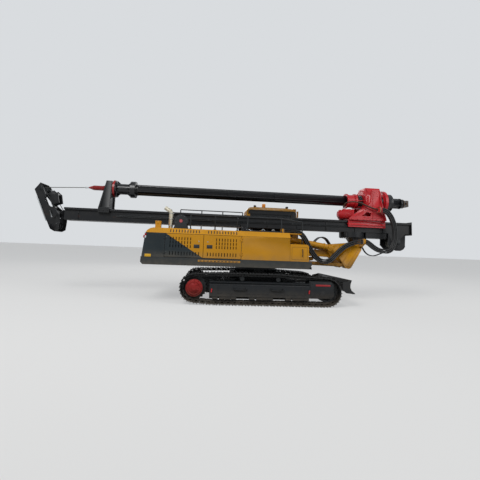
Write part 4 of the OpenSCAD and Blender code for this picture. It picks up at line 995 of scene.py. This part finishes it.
class RIG_OT_housing(bpy.types.Operator):
    """Adds latches, sills, handles, lamps, lifting eyes and seams of the housing"""
    bl_idname = "rig.housing"
    bl_label = "Housing fittings"

    def execute(self, context):
        # Door latches: a black pan with its paddle
        for end, x0, x1, lock_x in (("rear", -1866, -1714, -1733), ("front", -1522, -1371, -1500)):
            for side, out in (("right", -1), ("left", 1)):
                body = f"{side}_{end}_door"
                pan = block(x0, x1, *sorted((out * SIDE, out * (SIDE + 8))), 1466, 1560, 6)
                paddle = block(x0 + 30, x1 - 30, *sorted((out * (SIDE + 6), out * (SIDE + 15))), 1488,
                               1542, 5)
                hand_over(joined(pan, paddle), body + "_latch", body, "trim plastic")
            lock = across(lock_x, 1642, -SIDE - 6, -SIDE, 16, 20, 2)
            hand_over(lock, f"right_{end}_door_lock", f"right_{end}_door", "zinc")
        # Slotted sill under the doors, its slots painted as dark blocks for the shade inside them, and the
        # panels' seams
        sill = block(-1740, -608, -SIDE - 4, -SIDE + 6, 1108, 1160, 3)
        hand_over(both_sides(sill), "sill_strip", "upper_body", "yellow enamel")
        # Dark blocks on the sill: painted shade standing in for the open slots
        slot = block(-1700, -1640, -SIDE - 6, -SIDE - 2, 1124, 1144, 2)
        hand_over(both_sides(spaced(slot, 11, 96)), "sill_slots", "upper_body", "trim plastic")
        seam = (-SIDE - 1.5, -SIDE + 2)
        seams = [block(x, x + 5, *seam, 1205, 1830, 0) for x in (-2640, -590, 748)]
        seams += [block(-3180, 745, *seam, 1832, 1836, 0), block(-3190, 1275, *seam, 1198, 1203, 0)]
        hand_over(both_sides(*seams), "panel_seams", "upper_body", "trim plastic")
        # Pull handle of the step-down box, on two feet
        grip_x, grip_y = 1093, -SIDE - 34
        grip = round_bar(at(grip_x, grip_y, 1335), at(grip_x, grip_y, 1545), 11, 16, None, 3)
        feet = [across(grip_x, z, grip_y, -SIDE + 2, 9, 14) for z in (1345, 1535)]
        hand_over(joined(grip, *feet), "box_handle", "upper_body", "trim plastic")
        seam = (-SIDE - 3, -SIDE + 1)
        lid = [block(800, 1235, *seam, z, z + 4, 0) for z in (1250, 1590)]
        lid += [block(x, x + 4, *seam, 1250, 1594, 0) for x in (800, 1231)]
        hand_over(joined(*lid), "box_lid_seam", "upper_body", "trim plastic")
        # Lifting eyes: rings on their feet
        eye = turned([(-8, 22), (-8, 44), (8, 44), (8, 22)], at(102, -620, 2052), LEFT, 24)
        foot = block(70, 134, -632, -608, HOOD_TOP + 28, 2022, 3)
        lug = joined(eye, foot)
        hand_over(row(lug, (298, 0, 0), (-500, 1200, -28)), "lifting_eyes", "upper_body", "zinc")
        # Rear lamps, blank plate, side markers and the rear grille
        for tag, side in (("right", -1), ("left", 1)):
            for kind, y, key in (("lamp", side * 1170, "red lens"), ("marker", side * 1010, "clear lens")):
                lamp = block(-3208, -3170, y - 60, y + 60, 1690, 1760, 6)
                hand_over(lamp, f"rear_{kind}_{tag}", "upper_body", key)
        for name, x0, x1, proud, z0, z1, edge, key in (
            ("blank_plate", -3128, -2968, 5, 1200, 1272, 3, "blank plate"),
            ("side_marker_red", -3162, -3118, 8, 1752, 1806, 4, "red lens"),
            ("side_marker_white", -3156, -3118, 8, 1690, 1750, 4, "clear lens"),
        ):
            hand_over(block(x0, x1, -SIDE - proud, -SIDE + 2, z0, z1, edge), name, "upper_body", key)
        bars = spaced(block(-3238, -3216, -700, 700, 1290, 1304, 3), 12, z=34)
        uprights = [block(-3240, -3216, y, y + 30, 1270, 1700, 3) for y in (-730, 700)]
        rails = [block(-3240, -3216, -730, 730, z, z + 26, 3) for z in (1262, 1690)]
        grille = joined(bars, *uprights, *rails)
        # Leans with the housing's rear face
        grille.data.transform(Matrix(((1, 0, 0.1, -0.1225), (0, 1, 0, 0), (0, 0, 1, 0), (0, 0, 0, 1))))
        hand_over(grille, "rear_grille", "upper_body", "trim plastic")
        # Exhaust: clamp bands and heat guard, then the air box's lid
        bands = joined(*[self.band(-2550, -900, z) for z in (2060, 2240, 2400)])
        hand_over(bands, "exhaust_bands", "upper_body", "zinc")
        shield = joined(*[block(-2492, -2486, -935, -865, 2010 + i * 52, 2040 + i * 52, 2) for i in range(7)])
        hand_over(shield, "exhaust_guard", "upper_body", "dark steel")
        lid = block(-2962, -2798, -987, -823, 2150, 2172, 5)
        clip = block(-2900, -2860, -992, -984, 2090, 2160, 3)
        hand_over(joined(lid, clip), "air_box_lid", "upper_body", "yellow enamel")
        # Painted shade in the vents: dark backs of the slanted louvres, and dark screens inside the housing
        # behind the doors' slots, put where there is only shade
        shade_slat = block(-12.5, 12.5, -53, 53, -1.5, 1.5, 0)
        lean = Matrix.Rotation(math.radians(51.84), 4, "X")
        shade_slat.data.transform(Matrix.Translation(at(-2497, -SIDE + 63.6, 1898.2)) @ lean @ TO_MIDDLE)
        shade_slats = spaced(shade_slat, 11, 76)
        hand_over(both_sides(row(shade_slats, (1010, 0, 0))), "louvre_backs", "upper_body", "trim plastic")
        # Dark sheet behind the doors' slots: painted shade of the housing's inside
        screen = block(-2600, -640, -1246, -1240, 1225, 1815, 0)
        hand_over(both_sides(screen), "vent_screens", "upper_body", "trim plastic")
        # Hood hatches and a filler cap
        hatches = [block(-1900, -1240, -1080, -1074, HOOD_TOP, HOOD_TOP + 6, 2)]
        hatches += [block(x0, x1, 250, 900, HOOD_TOP, HOOD_TOP + 14, 5)
                    for x0, x1 in ((-1700, -1400), (-2500, -1900))]
        hand_over(joined(*hatches), "hood_hatches", "upper_body", "yellow enamel")
        collar = self.band(350, -900, HOOD_TOP + 48, 55, 8)
        cap = round_bar(at(350, -900, HOOD_TOP + 28), at(350, -900, HOOD_TOP + 62), 46, 24, None, 6)
        hand_over(joined(collar, cap), "filler_cap", "upper_body", "trim plastic")
        # Feet of the handrails, tread marks of the walkway and bolts of the skirt
        posts = [(x, -1150) for x in (-1985, -1320, -710)] + [(x, 1150) for x in (-2470, -1750, -1030, -340)]
        feet = [round_bar(at(x, y, HOOD_TOP), at(x, y, HOOD_TOP + 10), 42, 20, None, 2) for x, y in posts]
        hand_over(joined(*feet), "rail_feet", "upper_body", "dark steel")
        tread = block(-570, -560, -1160, -600, HOOD_TOP + 30, HOOD_TOP + 34, 0)
        hand_over(spaced(tread, 25, 45), "walkway_tread", "upper_body", "dark steel")
        skirt = bolt(at(-2500, -SIDE + 8, 1040), RIGHT, 22, 10)
        hand_over(both_sides(spaced(skirt, 11, 340)), "skirt_bolts", "upper_body", "grey enamel")
        return {"FINISHED"}

    def band(self, x, y, z, r=55, wide=18):
        """Clamp band round an upright pipe."""
        ring = round_bar(at(x, y, z - wide / 2), at(x, y, z + wide / 2), r + 5, 28, None, 2)
        ear = block(x + r, x + r + 22, y - 10, y + 10, z - wide / 2, z + wide / 2, 2)
        return joined(ring, ear)


class RIG_OT_winch(bpy.types.Operator):
    """Winds rope on both winches and adds the main one's cap and bolts"""
    bl_idname = "rig.winch"
    bl_label = "Winches"

    def execute(self, context):
        r = context.scene.rig_sizes.rope * 500
        core = 130
        turns = [math.tau * i / 8 for i in range(8)]
        drums = (("main_rope", "main_drum", MAIN_WINCH, -985, -550),
                 ("aux_rope", "aux_drum_body", AUX_WINCH, -195, 195))
        for name, body, (x, z), y0, y1 in drums:
            strand = [(r * math.cos(a), core + r * 1.6 + r * math.sin(a)) for a in turns]
            coil = turned(strand, at(x, y0 + r, z), LEFT, 36)
            wraps = int((y1 - y0) / (2 * r)) - 1
            hand_over(spaced(coil, wraps + 1, y=2 * r), name, body, "wire rope")
        x, z = MAIN_WINCH
        cap = turned([(0, 4), (0, 46), (-8, 42), (-8, 4)], at(x, -1040, z), LEFT, 36)
        hand_over(cap, "drum_cap", "upper_body", "rope pink")
        hand_over(bolt_ring(at(x, -1006, z), RIGHT, 150, 10, 22, 9), "drum_bolts", "main_drum", "bolt steel")
        return {"FINISHED"}


class RIG_OT_cab(bpy.types.Operator):
    """Adds the cab's seals, wiper, lamps, handles and seat"""
    bl_idname = "rig.cab"
    bl_label = "Cab fittings"

    def execute(self, context):
        rear, front = -270, 1450
        # Rubber seal round the inner side's window, and the dark header over it
        near = [(rear + 120, 1800), (front - 200, 1800), (front - 200, 2320), (front - 240, 2660),
                (rear + 120, 2660)]
        header = [(rear + 50, 2652), (rear + 50, 2735), (rear + 100, 2788), (1320, 2788), (1378, 2735),
                  (1390, 2320), (1235, 2320), (1225, 2652)]
        strip = plate(header, CAB_INNER - 7, CAB_INNER + 2, 3)
        seal = self.seal(near, CAB_INNER - 7, CAB_INNER + 4, 22)
        hand_over(joined(seal, strip), "cab_seals", "upper_body", "trim plastic")
        # Door of the far side: seal and handle
        door = [(320, 1750), (1160, 1750), (1160, 2290), (1120, 2620), (320, 2620)]
        hand_over(self.seal(door, CAB_OUTER - 4, CAB_OUTER + 5, 20), "cab_door_seal", "cab_side_door",
                  "trim plastic")
        x, y = 1080, CAB_OUTER + 30
        pull = [round_bar(at(x, y, 1560), at(x, y, 1700), 9, 14, None, 3)]
        pull += [across(x, z, CAB_OUTER - 2, y, 8, 12) for z in (1570, 1690)]
        hand_over(joined(*pull), "cab_door_handle", "cab_side_door", "trim plastic")
        # Roof: hatch, ribs, lamps on their posts and the beacon's base
        hatch = block(250, 850, 680, 1180, 2888, 2900, 6)
        ribs = joined(*[block(-60, 1120, y, y + 26, 2886, 2895, 4) for y in (590, 1240)])
        hand_over(joined(hatch, ribs), "roof_hatch", "upper_body", "yellow enamel")
        lamps, glass = [], []
        for x in (21, 1112):
            lamps.append(block(x - 45, x + 30, 640, 730, 2900, 2965, 8))
            lamps.append(round_bar(at(x, 685, 2880), at(x, 685, 2905), 12, 14))
            glass.append(block(x + 28, x + 36, 648, 722, 2908, 2957, 4))
        hand_over(joined(*lamps), "work_lamps", "upper_body", "trim plastic")
        hand_over(joined(*glass), "lamp_glass", "upper_body", "clear lens")
        base = round_bar(at(350, 900, 2888), at(350, 900, 2905), 74, 28, None, 4)
        folds = [round_bar(at(350, 900, z), at(350, 900, z + 6), 62, 28, None, 1.5)
                 for z in (2930, 2960, 2990)]
        hand_over(joined(base, *folds), "beacon_base", "upper_body", "trim plastic")
        # Windscreen wiper: arm, blade and spindle, and the two grab rails on their feet
        arm = round_bar(at(1462, 900, 1640), at(1440, 760, 2260), 7, 10)
        blade = block(1432, 1444, 752, 768, 2010, 2420, 3)
        spindle = round_bar(at(1430, 900, 1630), at(1475, 900, 1640), 16, 14)
        hand_over(joined(arm, blade, spindle), "wiper", "upper_body", "trim plastic")
        x, sides = 1478, (580, 1290)
        rails = [round_bar(at(x, y, 1700), at(x, y, 2250), 12, 14, None, 3) for y in sides]
        rails += [round_bar(at(1440, y, z), at(x, y, z), 9, 12) for y in sides for z in (1720, 2230)]
        hand_over(joined(*rails), "cab_grab_rails", "upper_body", "dark steel")
        glass = joined(*[block(1464, 1467, y + 6, y + 104, 2606, 2799, 2) for y in (520, 1225)])
        hand_over(glass, "mirror_glass", "upper_body", "zinc")
        self.chair()
        screen = joined(block(1030, 1052, 1150, 1290, 1900, 2010, 5),
                        round_bar(at(1050, 1220, 1790), at(1045, 1220, 1900), 9, 12))
        levers = []
        for y in (640, 1180):
            levers.append(round_bar(at(490, y, 1690), at(520, y, 1800), 9, 12))
            levers.append(round_bar(at(518, y, 1790), at(532, y, 1850), 20, 14, 15, 3))
        pedal = [(1180, 1130), (1240, 1210), (1232, 1216), (1172, 1136)]
        pedals = joined(*[plate(pedal, y, y + 90, 2) for y in (800, 930)])
        hand_over(joined(screen, pedals, *levers), "controls", "upper_body", "trim plastic")
        return {"FINISHED"}

    def seal(self, outline, y0, y1, wide):
        """Frame of rubber that follows a window's outline."""
        points = [at(x, (y0 + y1) / 2, z) for x, z in outline]
        parts = []
        for i, a in enumerate(points):
            b = points[(i + 1) % len(points)]
            way = (b - a).normalized() * (wide / 2000)
            parts.append(round_bar(a - way, b + way, wide / 2, 4))
        obj = joined(*parts)
        middle = moved_by(0, (y0 + y1) / 2000, 0)
        obj.data.transform(middle @ Matrix.Scale((y1 - y0) / wide, 4, LEFT) @ middle.inverted())
        return bevel(obj, 0.002)

    def cushion(self, low, high, lean, puff, swell_frames=12):
        """Padded block with round edges, blown up as cloth by no more than puff metres at any point."""
        low, high = Vector(low), Vector(high)
        deselect()
        bpy.ops.mesh.primitive_cube_add(size=1, location=(low + high) / 2)
        obj = bpy.context.object
        obj.scale = high - low
        seat(obj)
        bevel(obj, 0.03, 3)
        if lean:
            foot = moved_by((low.x + high.x) / 2, (low.y + high.y) / 2, low.z)
            obj.data.transform(foot @ Matrix.Rotation(lean, 4, "Y") @ foot.inverted())
        m = obj.modifiers.new("voxels", "REMESH")
        m.mode = "VOXEL"
        m.voxel_size = 0.012
        apply_modifiers(obj)
        start = [v.co.copy() for v in obj.data.vertices]
        cloth = obj.modifiers.new("cloth", "CLOTH")
        cloth.settings.use_pressure = True
        cloth.settings.uniform_pressure_force = 4.0
        cloth.settings.effector_weights.gravity = 0.0
        cloth.point_cache.frame_start = 1
        cloth.point_cache.frame_end = swell_frames
        scene = bpy.context.scene
        for step in range(1, swell_frames + 1):
            scene.frame_set(step)
        choose(obj)
        bpy.ops.object.modifier_apply(modifier="cloth")
        scene.frame_set(1)
        for vertex, old in zip(obj.data.vertices, start):
            move = vertex.co - old
            if move.length > puff:
                vertex.co = old + move * (puff / move.length)
        m = obj.modifiers.new("soft", "SUBSURF")
        m.levels = m.render_levels = 1
        apply_modifiers(obj)
        return obj

    def chair(self):
        """Suspension chair: padded seat and back with its shell, on a base with bellows."""
        x, middle, puff = 190, 927.5, 0.008
        seat_pad = self.cushion(at(x + 15, middle - 215, 1562), at(x + 495, middle + 215, 1652), 0, puff)
        back_lean = math.radians(-7)
        back_pad = self.cushion(at(x - 38, middle - 200, 1690), at(x + 42, middle + 200, 2262), back_lean,
                                puff)
        for obj, name in ((seat_pad, "chair_seat_pad"), (back_pad, "chair_back_pad")):
            hand_over(obj, name, "upper_body", "chair cloth", "operator_chair")
        # Foot, column and pan, then the folds of the bellows round the column
        tiers = [(80, 440, 173, 1108, 1180, 6), (110, 410, 140, 1180, 1500, 4), (60, 470, 190, 1500, 1560, 6)]
        tiers += [(100, 420, 150, 1200 + i * 48, 1222 + i * 48, 6) for i in range(6)]
        base = [block(x + x0, x + x1, middle - half, middle + half, z0, z1, edge)
                for x0, x1, half, z0, z1, edge in tiers]
        hand_over(joined(*base), "chair_base", "upper_body", "trim plastic", "operator_chair")
        shell = plate([(x + 20, 1660), (x - 60, 2270), (x - 76, 2268), (x + 2, 1655)], middle - 190,
                      middle + 190, 4)
        hand_over(shell, "chair_shell", "upper_body", "trim plastic", "operator_chair")


class RIG_OT_boom(bpy.types.Operator):
    """Adds pin caps, weld strips, pipes and cylinder glands of the boom and bracket"""
    bl_idname = "rig.boom"
    bl_label = "Boom fittings"

    def execute(self, context):
        caps = (
            ("boom_foot_caps", "upper_body", 720, 1460, 285, 62, "grey enamel"),
            ("boom_tip_caps", "bracket_body", 2400, 1420, 285, 60, "yellow enamel"),
            ("mast_pin_caps", "mast_body", 3360, 1860, 310, 62, "mast paint"),
            ("bracket_eye_caps", "bracket_body", 2200, 1633, 465, 52, "yellow enamel"),
            ("link_foot_caps", "upper_body", 1040, 1150, 471, 52, "grey enamel"),
        )
        for name, body, x, z, y, r, key in caps:
            cap = turned([(0, 10), (0, r), (9, r - 4), (14, r * 0.6), (14, 10)], at(x, y, z), LEFT, 28)
            heads = bolt_ring(at(x, y + 8, z), LEFT, r * 0.72, 4, 15, 9)
            hand_over(both_sides(cap, heads), name, body, key)
        # Gland collars and oil pipes of the mast cylinders
        foot, eye = MAST_CYLINDER
        way = (eye - foot).normalized()
        side = Vector((way.y, -way.x))
        collars, pipes = [], []
        for y in (-380, 380):
            for d, long in ((1700, 46), (150, 40)):
                a, b = foot + way * d, foot + way * (d + long)
                collars.append(round_bar(at(a.x, y, a.y), at(b.x, y, b.y), 100, 32, None, 4))
            a, b = foot + way * 190 - side * 112, foot + way * 1690 - side * 112
            pipes.append(round_bar(at(a.x, y, a.y), at(b.x, y, b.y), 11, 12))
            for d in (420, 900, 1380):
                c = foot + way * d - side * 104
                pipes.append(block(c.x - 18, c.x + 18, y - 22, y + 22, c.y - 22, c.y + 22, 4))
        hand_over(joined(*collars), "mast_cylinder_collars", "mast_barrels", "yellow enamel")
        hand_over(joined(*pipes), "mast_cylinder_pipes", "mast_barrels", "dark steel")
        # Weld strips along the boom's plates and ribs on the bracket's outer plates
        upper = plate([(760, 1546), (1490, 1578), (1490, 1590), (760, 1558)], -221, -213, 2)
        lower = plate([(760, 1362), (1900, 1362), (1900, 1374), (760, 1374)], -221, -213, 2)
        hand_over(both_sides(upper, lower), "boom_welds", "boom_body", "yellow enamel")
        rear = plate([(2560, 1150), (2860, 1620), (2848, 1628), (2548, 1158)], -482, -470, 2)
        front = plate([(2700, 1045), (3090, 1610), (3078, 1618), (2688, 1053)], -478, -470, 2)
        hand_over(both_sides(rear, front), "bracket_ribs", "bracket_body", "yellow enamel")
        # Tan clamps that hold the wide bundle together
        clamps = (("bundle_clamp_start", "upper_body", 715, 2046),
                  ("bundle_clamp_end", "bracket_body", 3165, 1840))
        for name, body, x, z in clamps:
            strap = [block(x - 14, x + 14, HOSE_Y - 66, HOSE_Y + 66, z + a, z + a + 7, 2) for a in (-76, 69)]
            strap += [block(x - 14, x + 14, HOSE_Y + a, HOSE_Y + a + 5, z - 74, z + 74, 2) for a in (-66, 61)]
            hand_over(joined(*strap), name, body, "clamp nylon")
        return {"FINISHED"}


class RIG_OT_mast(bpy.types.Operator):
    """Adds the mast's stiffeners, pipes, bolts and the fittings of its head and winch"""
    bl_idname = "rig.mast"
    bl_label = "Mast fittings"

    def execute(self, context):
        # Weld beads and stiffener plates along both sides of the box
        beads = joined(*[block(-5670, 4920, -224, -218, z, z + 8, 0) for z in (MAST_LOW + 6, 2428)])
        # None stands where the kelly's guide travels
        stiff = block(-650, -630, -238, -219, MAST_LOW + 20, 2420, 2)
        stiff = row(stiff, *[(i * 930, 0, 0) for i in (-5, 1, 2, 3, 4, 5)])
        hand_over(both_sides(beads, stiff), "mast_stiffeners", "mast_body", "mast paint")
        # Two oil pipes in clips along the near side
        pipes = joined(*[along(-4200, 3700, -240, z, 12, 12) for z in (2330, 2296)])
        clip = block(-4100, -4070, -258, -219, 2282, 2346, 3)
        clips = spaced(clip, 10, 860)
        hand_over(joined(pipes, clips), "mast_pipes", "mast_body", "dark steel")
        heads = joined(*[bolt(at(4950, y, z), FRONT, 26, 14) for y in (-230, -80, 80, 230)
                         for z in (2150, 2300, 2490)])
        hand_over(heads, "end_plate_bolts", "mast_body", "mast paint")
        x, z = TURNTABLE
        ring = round_about(bolt(at(x + 345, 0, z), DOWN, 28, 14), at(x, 0, z), "Z", 24)
        hand_over(ring, "turntable_bolts", "mast_body", "bolt steel")
        # Head: rims, pin caps and bolts on both plates, and pale strips painted as highlights along the
        # plates' rear edges
        rim = self.rim([(-6396, 3180), (-6533, 2984), (-6100, 2052), (-6012, 1872), (-5900, 1805)], -270,
                       -258, 14)
        rib = plate([(-6380, 3150), (-5930, 2450), (-5915, 2462), (-6362, 3160)], -268, -262, 2)
        hand_over(both_sides(rim, rib), "head_rims", "head_body", "mast paint")
        # Pale zinc-coloured strips over the mast paint: a painted highlight where the head's rear edges catch
        # the light
        strip = plate([(-6476, 2784), (-6446, 2772), (-6130, 2094), (-6156, 2084)], -266, -236, 2)
        hand_over(both_sides(strip), "head_strips", "head_body", "zinc", slot="mast_paint")
        pins = []
        for x, z, r in ((-6370, 2990, 46), (-5915, 1965, 42), (-5850, 2270, 52)):
            pins.append(turned([(0, 8), (0, r), (8, r - 4), (8, 8)], at(x, 262, z), LEFT, 24))
            pins.append(bolt_ring(at(x, 268, z), LEFT, r * 0.62, 3, 14, 8))
        hand_over(both_sides(*pins), "head_pin_caps", "head_body", "mast paint")
        # Winch at the lower end: motor, bolts and bearing caps
        x, z = AUX_WINCH
        motor = joined(across(x, z, -330, -255, 92, 28, 5), across(x, z, -380, -330, 60, 24, 5))
        heads = bolt_ring(at(x, -330, z), RIGHT, 76, 8, 18, 9)
        cap = turned([(0, 10), (0, 70), (12, 62), (12, 10)], at(x, 255, z), LEFT, 28)
        hand_over(joined(motor, heads, cap), "aux_winch_motor", "mast_body", "dark steel")
        rim = self.rim([(4160, 1800), (4300, 1650), (4400, 1620), (4560, 1620), (4660, 1670),
                        (4720, 1760)], -263, -255, 14)
        hand_over(both_sides(rim), "aux_winch_rims", "mast_body", "mast paint")
        # Kelly guide: ribs on its plates and bolts on the carriage
        ribs = ([(-4690, 2560), (-4555, 3340), (-4543, 3340), (-4678, 2560)],
                [(-4425, 2560), (-4425, 3340), (-4413, 3340), (-4413, 2560)])
        heads = spaced(bolt(at(-4680, -330, 2455), RIGHT, 24, 12), 3, 110)
        plates = [plate(rib, -238, -230, 2) for rib in ribs]
        hand_over(both_sides(*plates, heads), "guide_ribs", "guide_body", "mast paint")
        return {"FINISHED"}

    def rim(self, points, y0, y1, wide):
        """Flat bar welded along an open outline of [x, z]."""
        parts = []
        for a, b in zip(points, points[1:]):
            a, b = Vector(a), Vector(b)
            way = (b - a).normalized()
            out = Vector((way.y, -way.x)) * wide / 2
            parts.append(plate([tuple(a - out), tuple(b - out), tuple(b + out), tuple(a + out)], y0, y1, 2))
        return joined(*parts)


class RIG_OT_kelly(bpy.types.Operator):
    """Adds the bolts and rings of the kelly, its swivel and its stub"""
    bl_idname = "rig.kelly"
    bl_label = "Kelly fittings"

    def execute(self, context):
        heads = []
        for x, way in ((-4290, FRONT), (-3743, FRONT), (-3890, REAR)):
            heads.append(bolt_ring(at(x, 0, KELLY_Z), way, 222, 16, 24, 12))
        hand_over(joined(*heads), "kelly_bolts", "kelly_bar", "bolt steel")
        rings = [turned([(0, 140), (0, 171), (26, 169), (30, 140)], at(x, 0, KELLY_Z), FRONT, 40)
                 for x in (-3743, -3700, 4690)]
        joints = [turned([(0, 146), (0, 151), (7, 151), (7, 146)], at(x, 0, KELLY_Z), FRONT, 36)
                  for x in (-2400, -950, 520, 1990)]
        hand_over(joined(*rings, *joints), "kelly_rings", "kelly_bar", "kelly paint")
        swivel = turned([(0, 60), (0, 84), (16, 84), (20, 60)], at(-4700, 0, KELLY_Z), FRONT, 28)
        heads = bolt_ring(at(-4700, 0, KELLY_Z), REAR, 79, 8, 14, 9)
        hand_over(joined(swivel, heads), "swivel_rings", "kelly_bar", "hub enamel")
        collar = turned([(0, 60), (0, 148), (20, 148), (20, 60)], at(4788, 0, KELLY_Z), FRONT, 36)
        square = block(4900, 4930, -106, 106, KELLY_Z - 106, KELLY_Z + 106, 8)
        hand_over(joined(collar, square), "stub_collar", "kelly_bar", "worn stub")
        return {"FINISHED"}


class RIG_OT_drive(bpy.types.Operator):
    """Adds the bolts, ribs, ports and oil hoses of the rotary drive"""
    bl_idname = "rig.drive"
    bl_label = "Drive fittings"

    def execute(self, context):
        heads = []
        for x, r, count in ((3380, 350, 28), (2860, 221, 16), (3130, 225, 16)):
            heads.append(bolt_ring(at(x, 0, KELLY_Z), REAR, r, count, 22, 12))
        hand_over(joined(*heads), "drive_bolts", "drive_body", "red enamel")
        front = [bolt_ring(at(x, 0, KELLY_Z), way, 345, 24, 24, 12)
                 for x, way in ((4135, FRONT), (4050, REAR))]
        hand_over(joined(*front), "ring_bolts", "drive_body", "bolt steel")
        # Ribs on the side plates, with their outer face, and the plates' bolts
        ribs = (
            ([(3000, 2600), (3540, 3010), (3533, 3020), (2993, 2610)], -410),
            ([(3580, 2560), (3590, 3470), (3604, 3470), (3594, 2560)], -412),
            ([(3990, 2590), (3790, 3470), (3778, 3468), (3978, 2588)], -412),
            ([(3300, 2590), (3990, 2590), (3990, 2604), (3300, 2604)], -410),
        )
        ribs = [plate(outline, face, -400, 2) for outline, face in ribs]
        hand_over(both_sides(*ribs), "drive_ribs", "drive_body", "red enamel")
        places = [(x, 2545) for x in range(2900, 3901, 200)]
        places += [(3650, 3420), (3740, 3300), (3640, 2900), (3760, 2700)]
        low = [bolt(at(x, -400, z), RIGHT, 26, 12) for x, z in places]
        hand_over(both_sides(*low), "drive_side_bolts", "drive_body", "red enamel")
        # Motors: cooling ribs, flange bolts and port blocks, then the ports
        motors = []
        rib = [(0, 130), (0, 146), (10, 146), (10, 130)]
        for y, x0 in MOTORS:
            motors += [turned(rib, at(x, y, MOTOR_Z), FRONT, 32) for x in range(x0 + 40, 2930, 52)]
            motors.append(bolt_ring(at(x0, y, MOTOR_Z), REAR, 112, 8, 20, 10))
            motors.append(block(x0 + 130, x0 + 200, y - 60, y + 60, 2850, 2874, 5))
        hand_over(joined(*motors), "motor_ribs", "drive_body", "red enamel")
        ports = []
        for y, x0 in MOTORS:
            ports += [round_bar(at(x0 + 165, y + d, 2872), at(x0 + 165, y + d, 2898), 24, 6, None, 2)
                      for d in (-32, 32)]
        hand_over(joined(*ports), "motor_ports", "drive_body", "zinc")
        # Oil hoses from the motors' ports along the near side plate to the bundle's clamp
        for i, (px, d) in enumerate(((2740, -232), (2740, -168))):
            points = [(px, d, 2890), (px, d, 2970), (px + 30, d - 90, 3050), (px + 160, d - 230, 3075),
                      (3120, -455 - 45 * i, 3050), (3350, -470 - 45 * i, 2960),
                      (3560, -475 - 45 * i, 2890), (3699, -475 - 45 * i, 2860)]
            path = [at(*p) for p in self.curve(points)]
            hand_over(tube(path, 0.017), f"drive_hose_{i}", "drive_body", "brown hose")
        strap = [block(3690, 3718, -650, -392, 2758 + 158 * k, 2766 + 158 * k, 2) for k in (0, 1)]
        hand_over(joined(*strap, block(3690, 3718, -654, -646, 2758, 2924, 2)), "drive_clamp",
                  "drive_body", "clamp nylon")
        return {"FINISHED"}

    def curve(self, points):
        """Smooth curve through points in three dimensions."""
        flat = smooth_route([(p[0], p[2]) for p in points])
        deep = smooth_route([(p[0], p[1]) for p in points])
        return [(a.x, b.y, a.y) for a, b in zip(flat, deep)]


class RIG_OT_ropes(bpy.types.Operator):
    """Runs the wire ropes over the head"""
    bl_idname = "rig.ropes"
    bl_label = "Ropes"

    def execute(self, context):
        r = context.scene.rig_sizes.rope * 500
        high, swivel = at(-6362, -70, 3082), at(-5140, 0, KELLY_Z)
        over = tube([high.lerp(swivel, k / 16) for k in range(17)], r / 1000, 2)
        finished(over, "head_rope_0", "wire rope", 60.0)
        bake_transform(over)
        # The swivel keeps the rope's socket from turning with the kelly
        socket = round_bar(at(-5240, -4, 3149), swivel + Vector((0.010, 0, 0)), 22, 16, 16, 2)
        hand_over(socket, "rope_socket", "guide_body", "zinc")
        down = tube([at(-6455, -70, 2960), at(-6010, -70, 1985)], r / 1000, 2)
        hand_over(down, "head_rope_down", "head_body", "wire rope")
        return {"FINISHED"}


class RIG_PT_panel(bpy.types.Panel):
    """The rig's pieces, in the order they are made"""
    bl_label = "Piling rig"
    bl_idname = "RIG_PT_panel"
    bl_space_type = "VIEW_3D"
    bl_region_type = "UI"
    bl_category = "Piling rig"

    def draw(self, context):
        for operator in STEPS:
            self.layout.operator(operator.bl_idname)


STEPS = (RIG_OT_stage, RIG_OT_hoses, RIG_OT_carried, RIG_OT_undercarriage, RIG_OT_blade, RIG_OT_housing,
         RIG_OT_winch, RIG_OT_cab, RIG_OT_boom, RIG_OT_mast, RIG_OT_kelly, RIG_OT_drive, RIG_OT_ropes)
CLASSES = (RigPaint, RigSizes, RigStage) + STEPS + (RIG_PT_panel,)


def register():
    for cls in CLASSES:
        bpy.utils.register_class(cls)
    bpy.types.Scene.rig_paint = PointerProperty(type=RigPaint)
    bpy.types.Scene.rig_sizes = PointerProperty(type=RigSizes)
    bpy.types.Scene.rig_stage = PointerProperty(type=RigStage)


def unregister():
    del bpy.types.Scene.rig_paint
    del bpy.types.Scene.rig_sizes
    del bpy.types.Scene.rig_stage
    for cls in reversed(CLASSES):
        bpy.utils.unregister_class(cls)


def main():
    register()
    for operator in STEPS:
        group, name = operator.bl_idname.split(".")
        getattr(getattr(bpy.ops, group), name)()


if __name__ == "__main__":
    main()
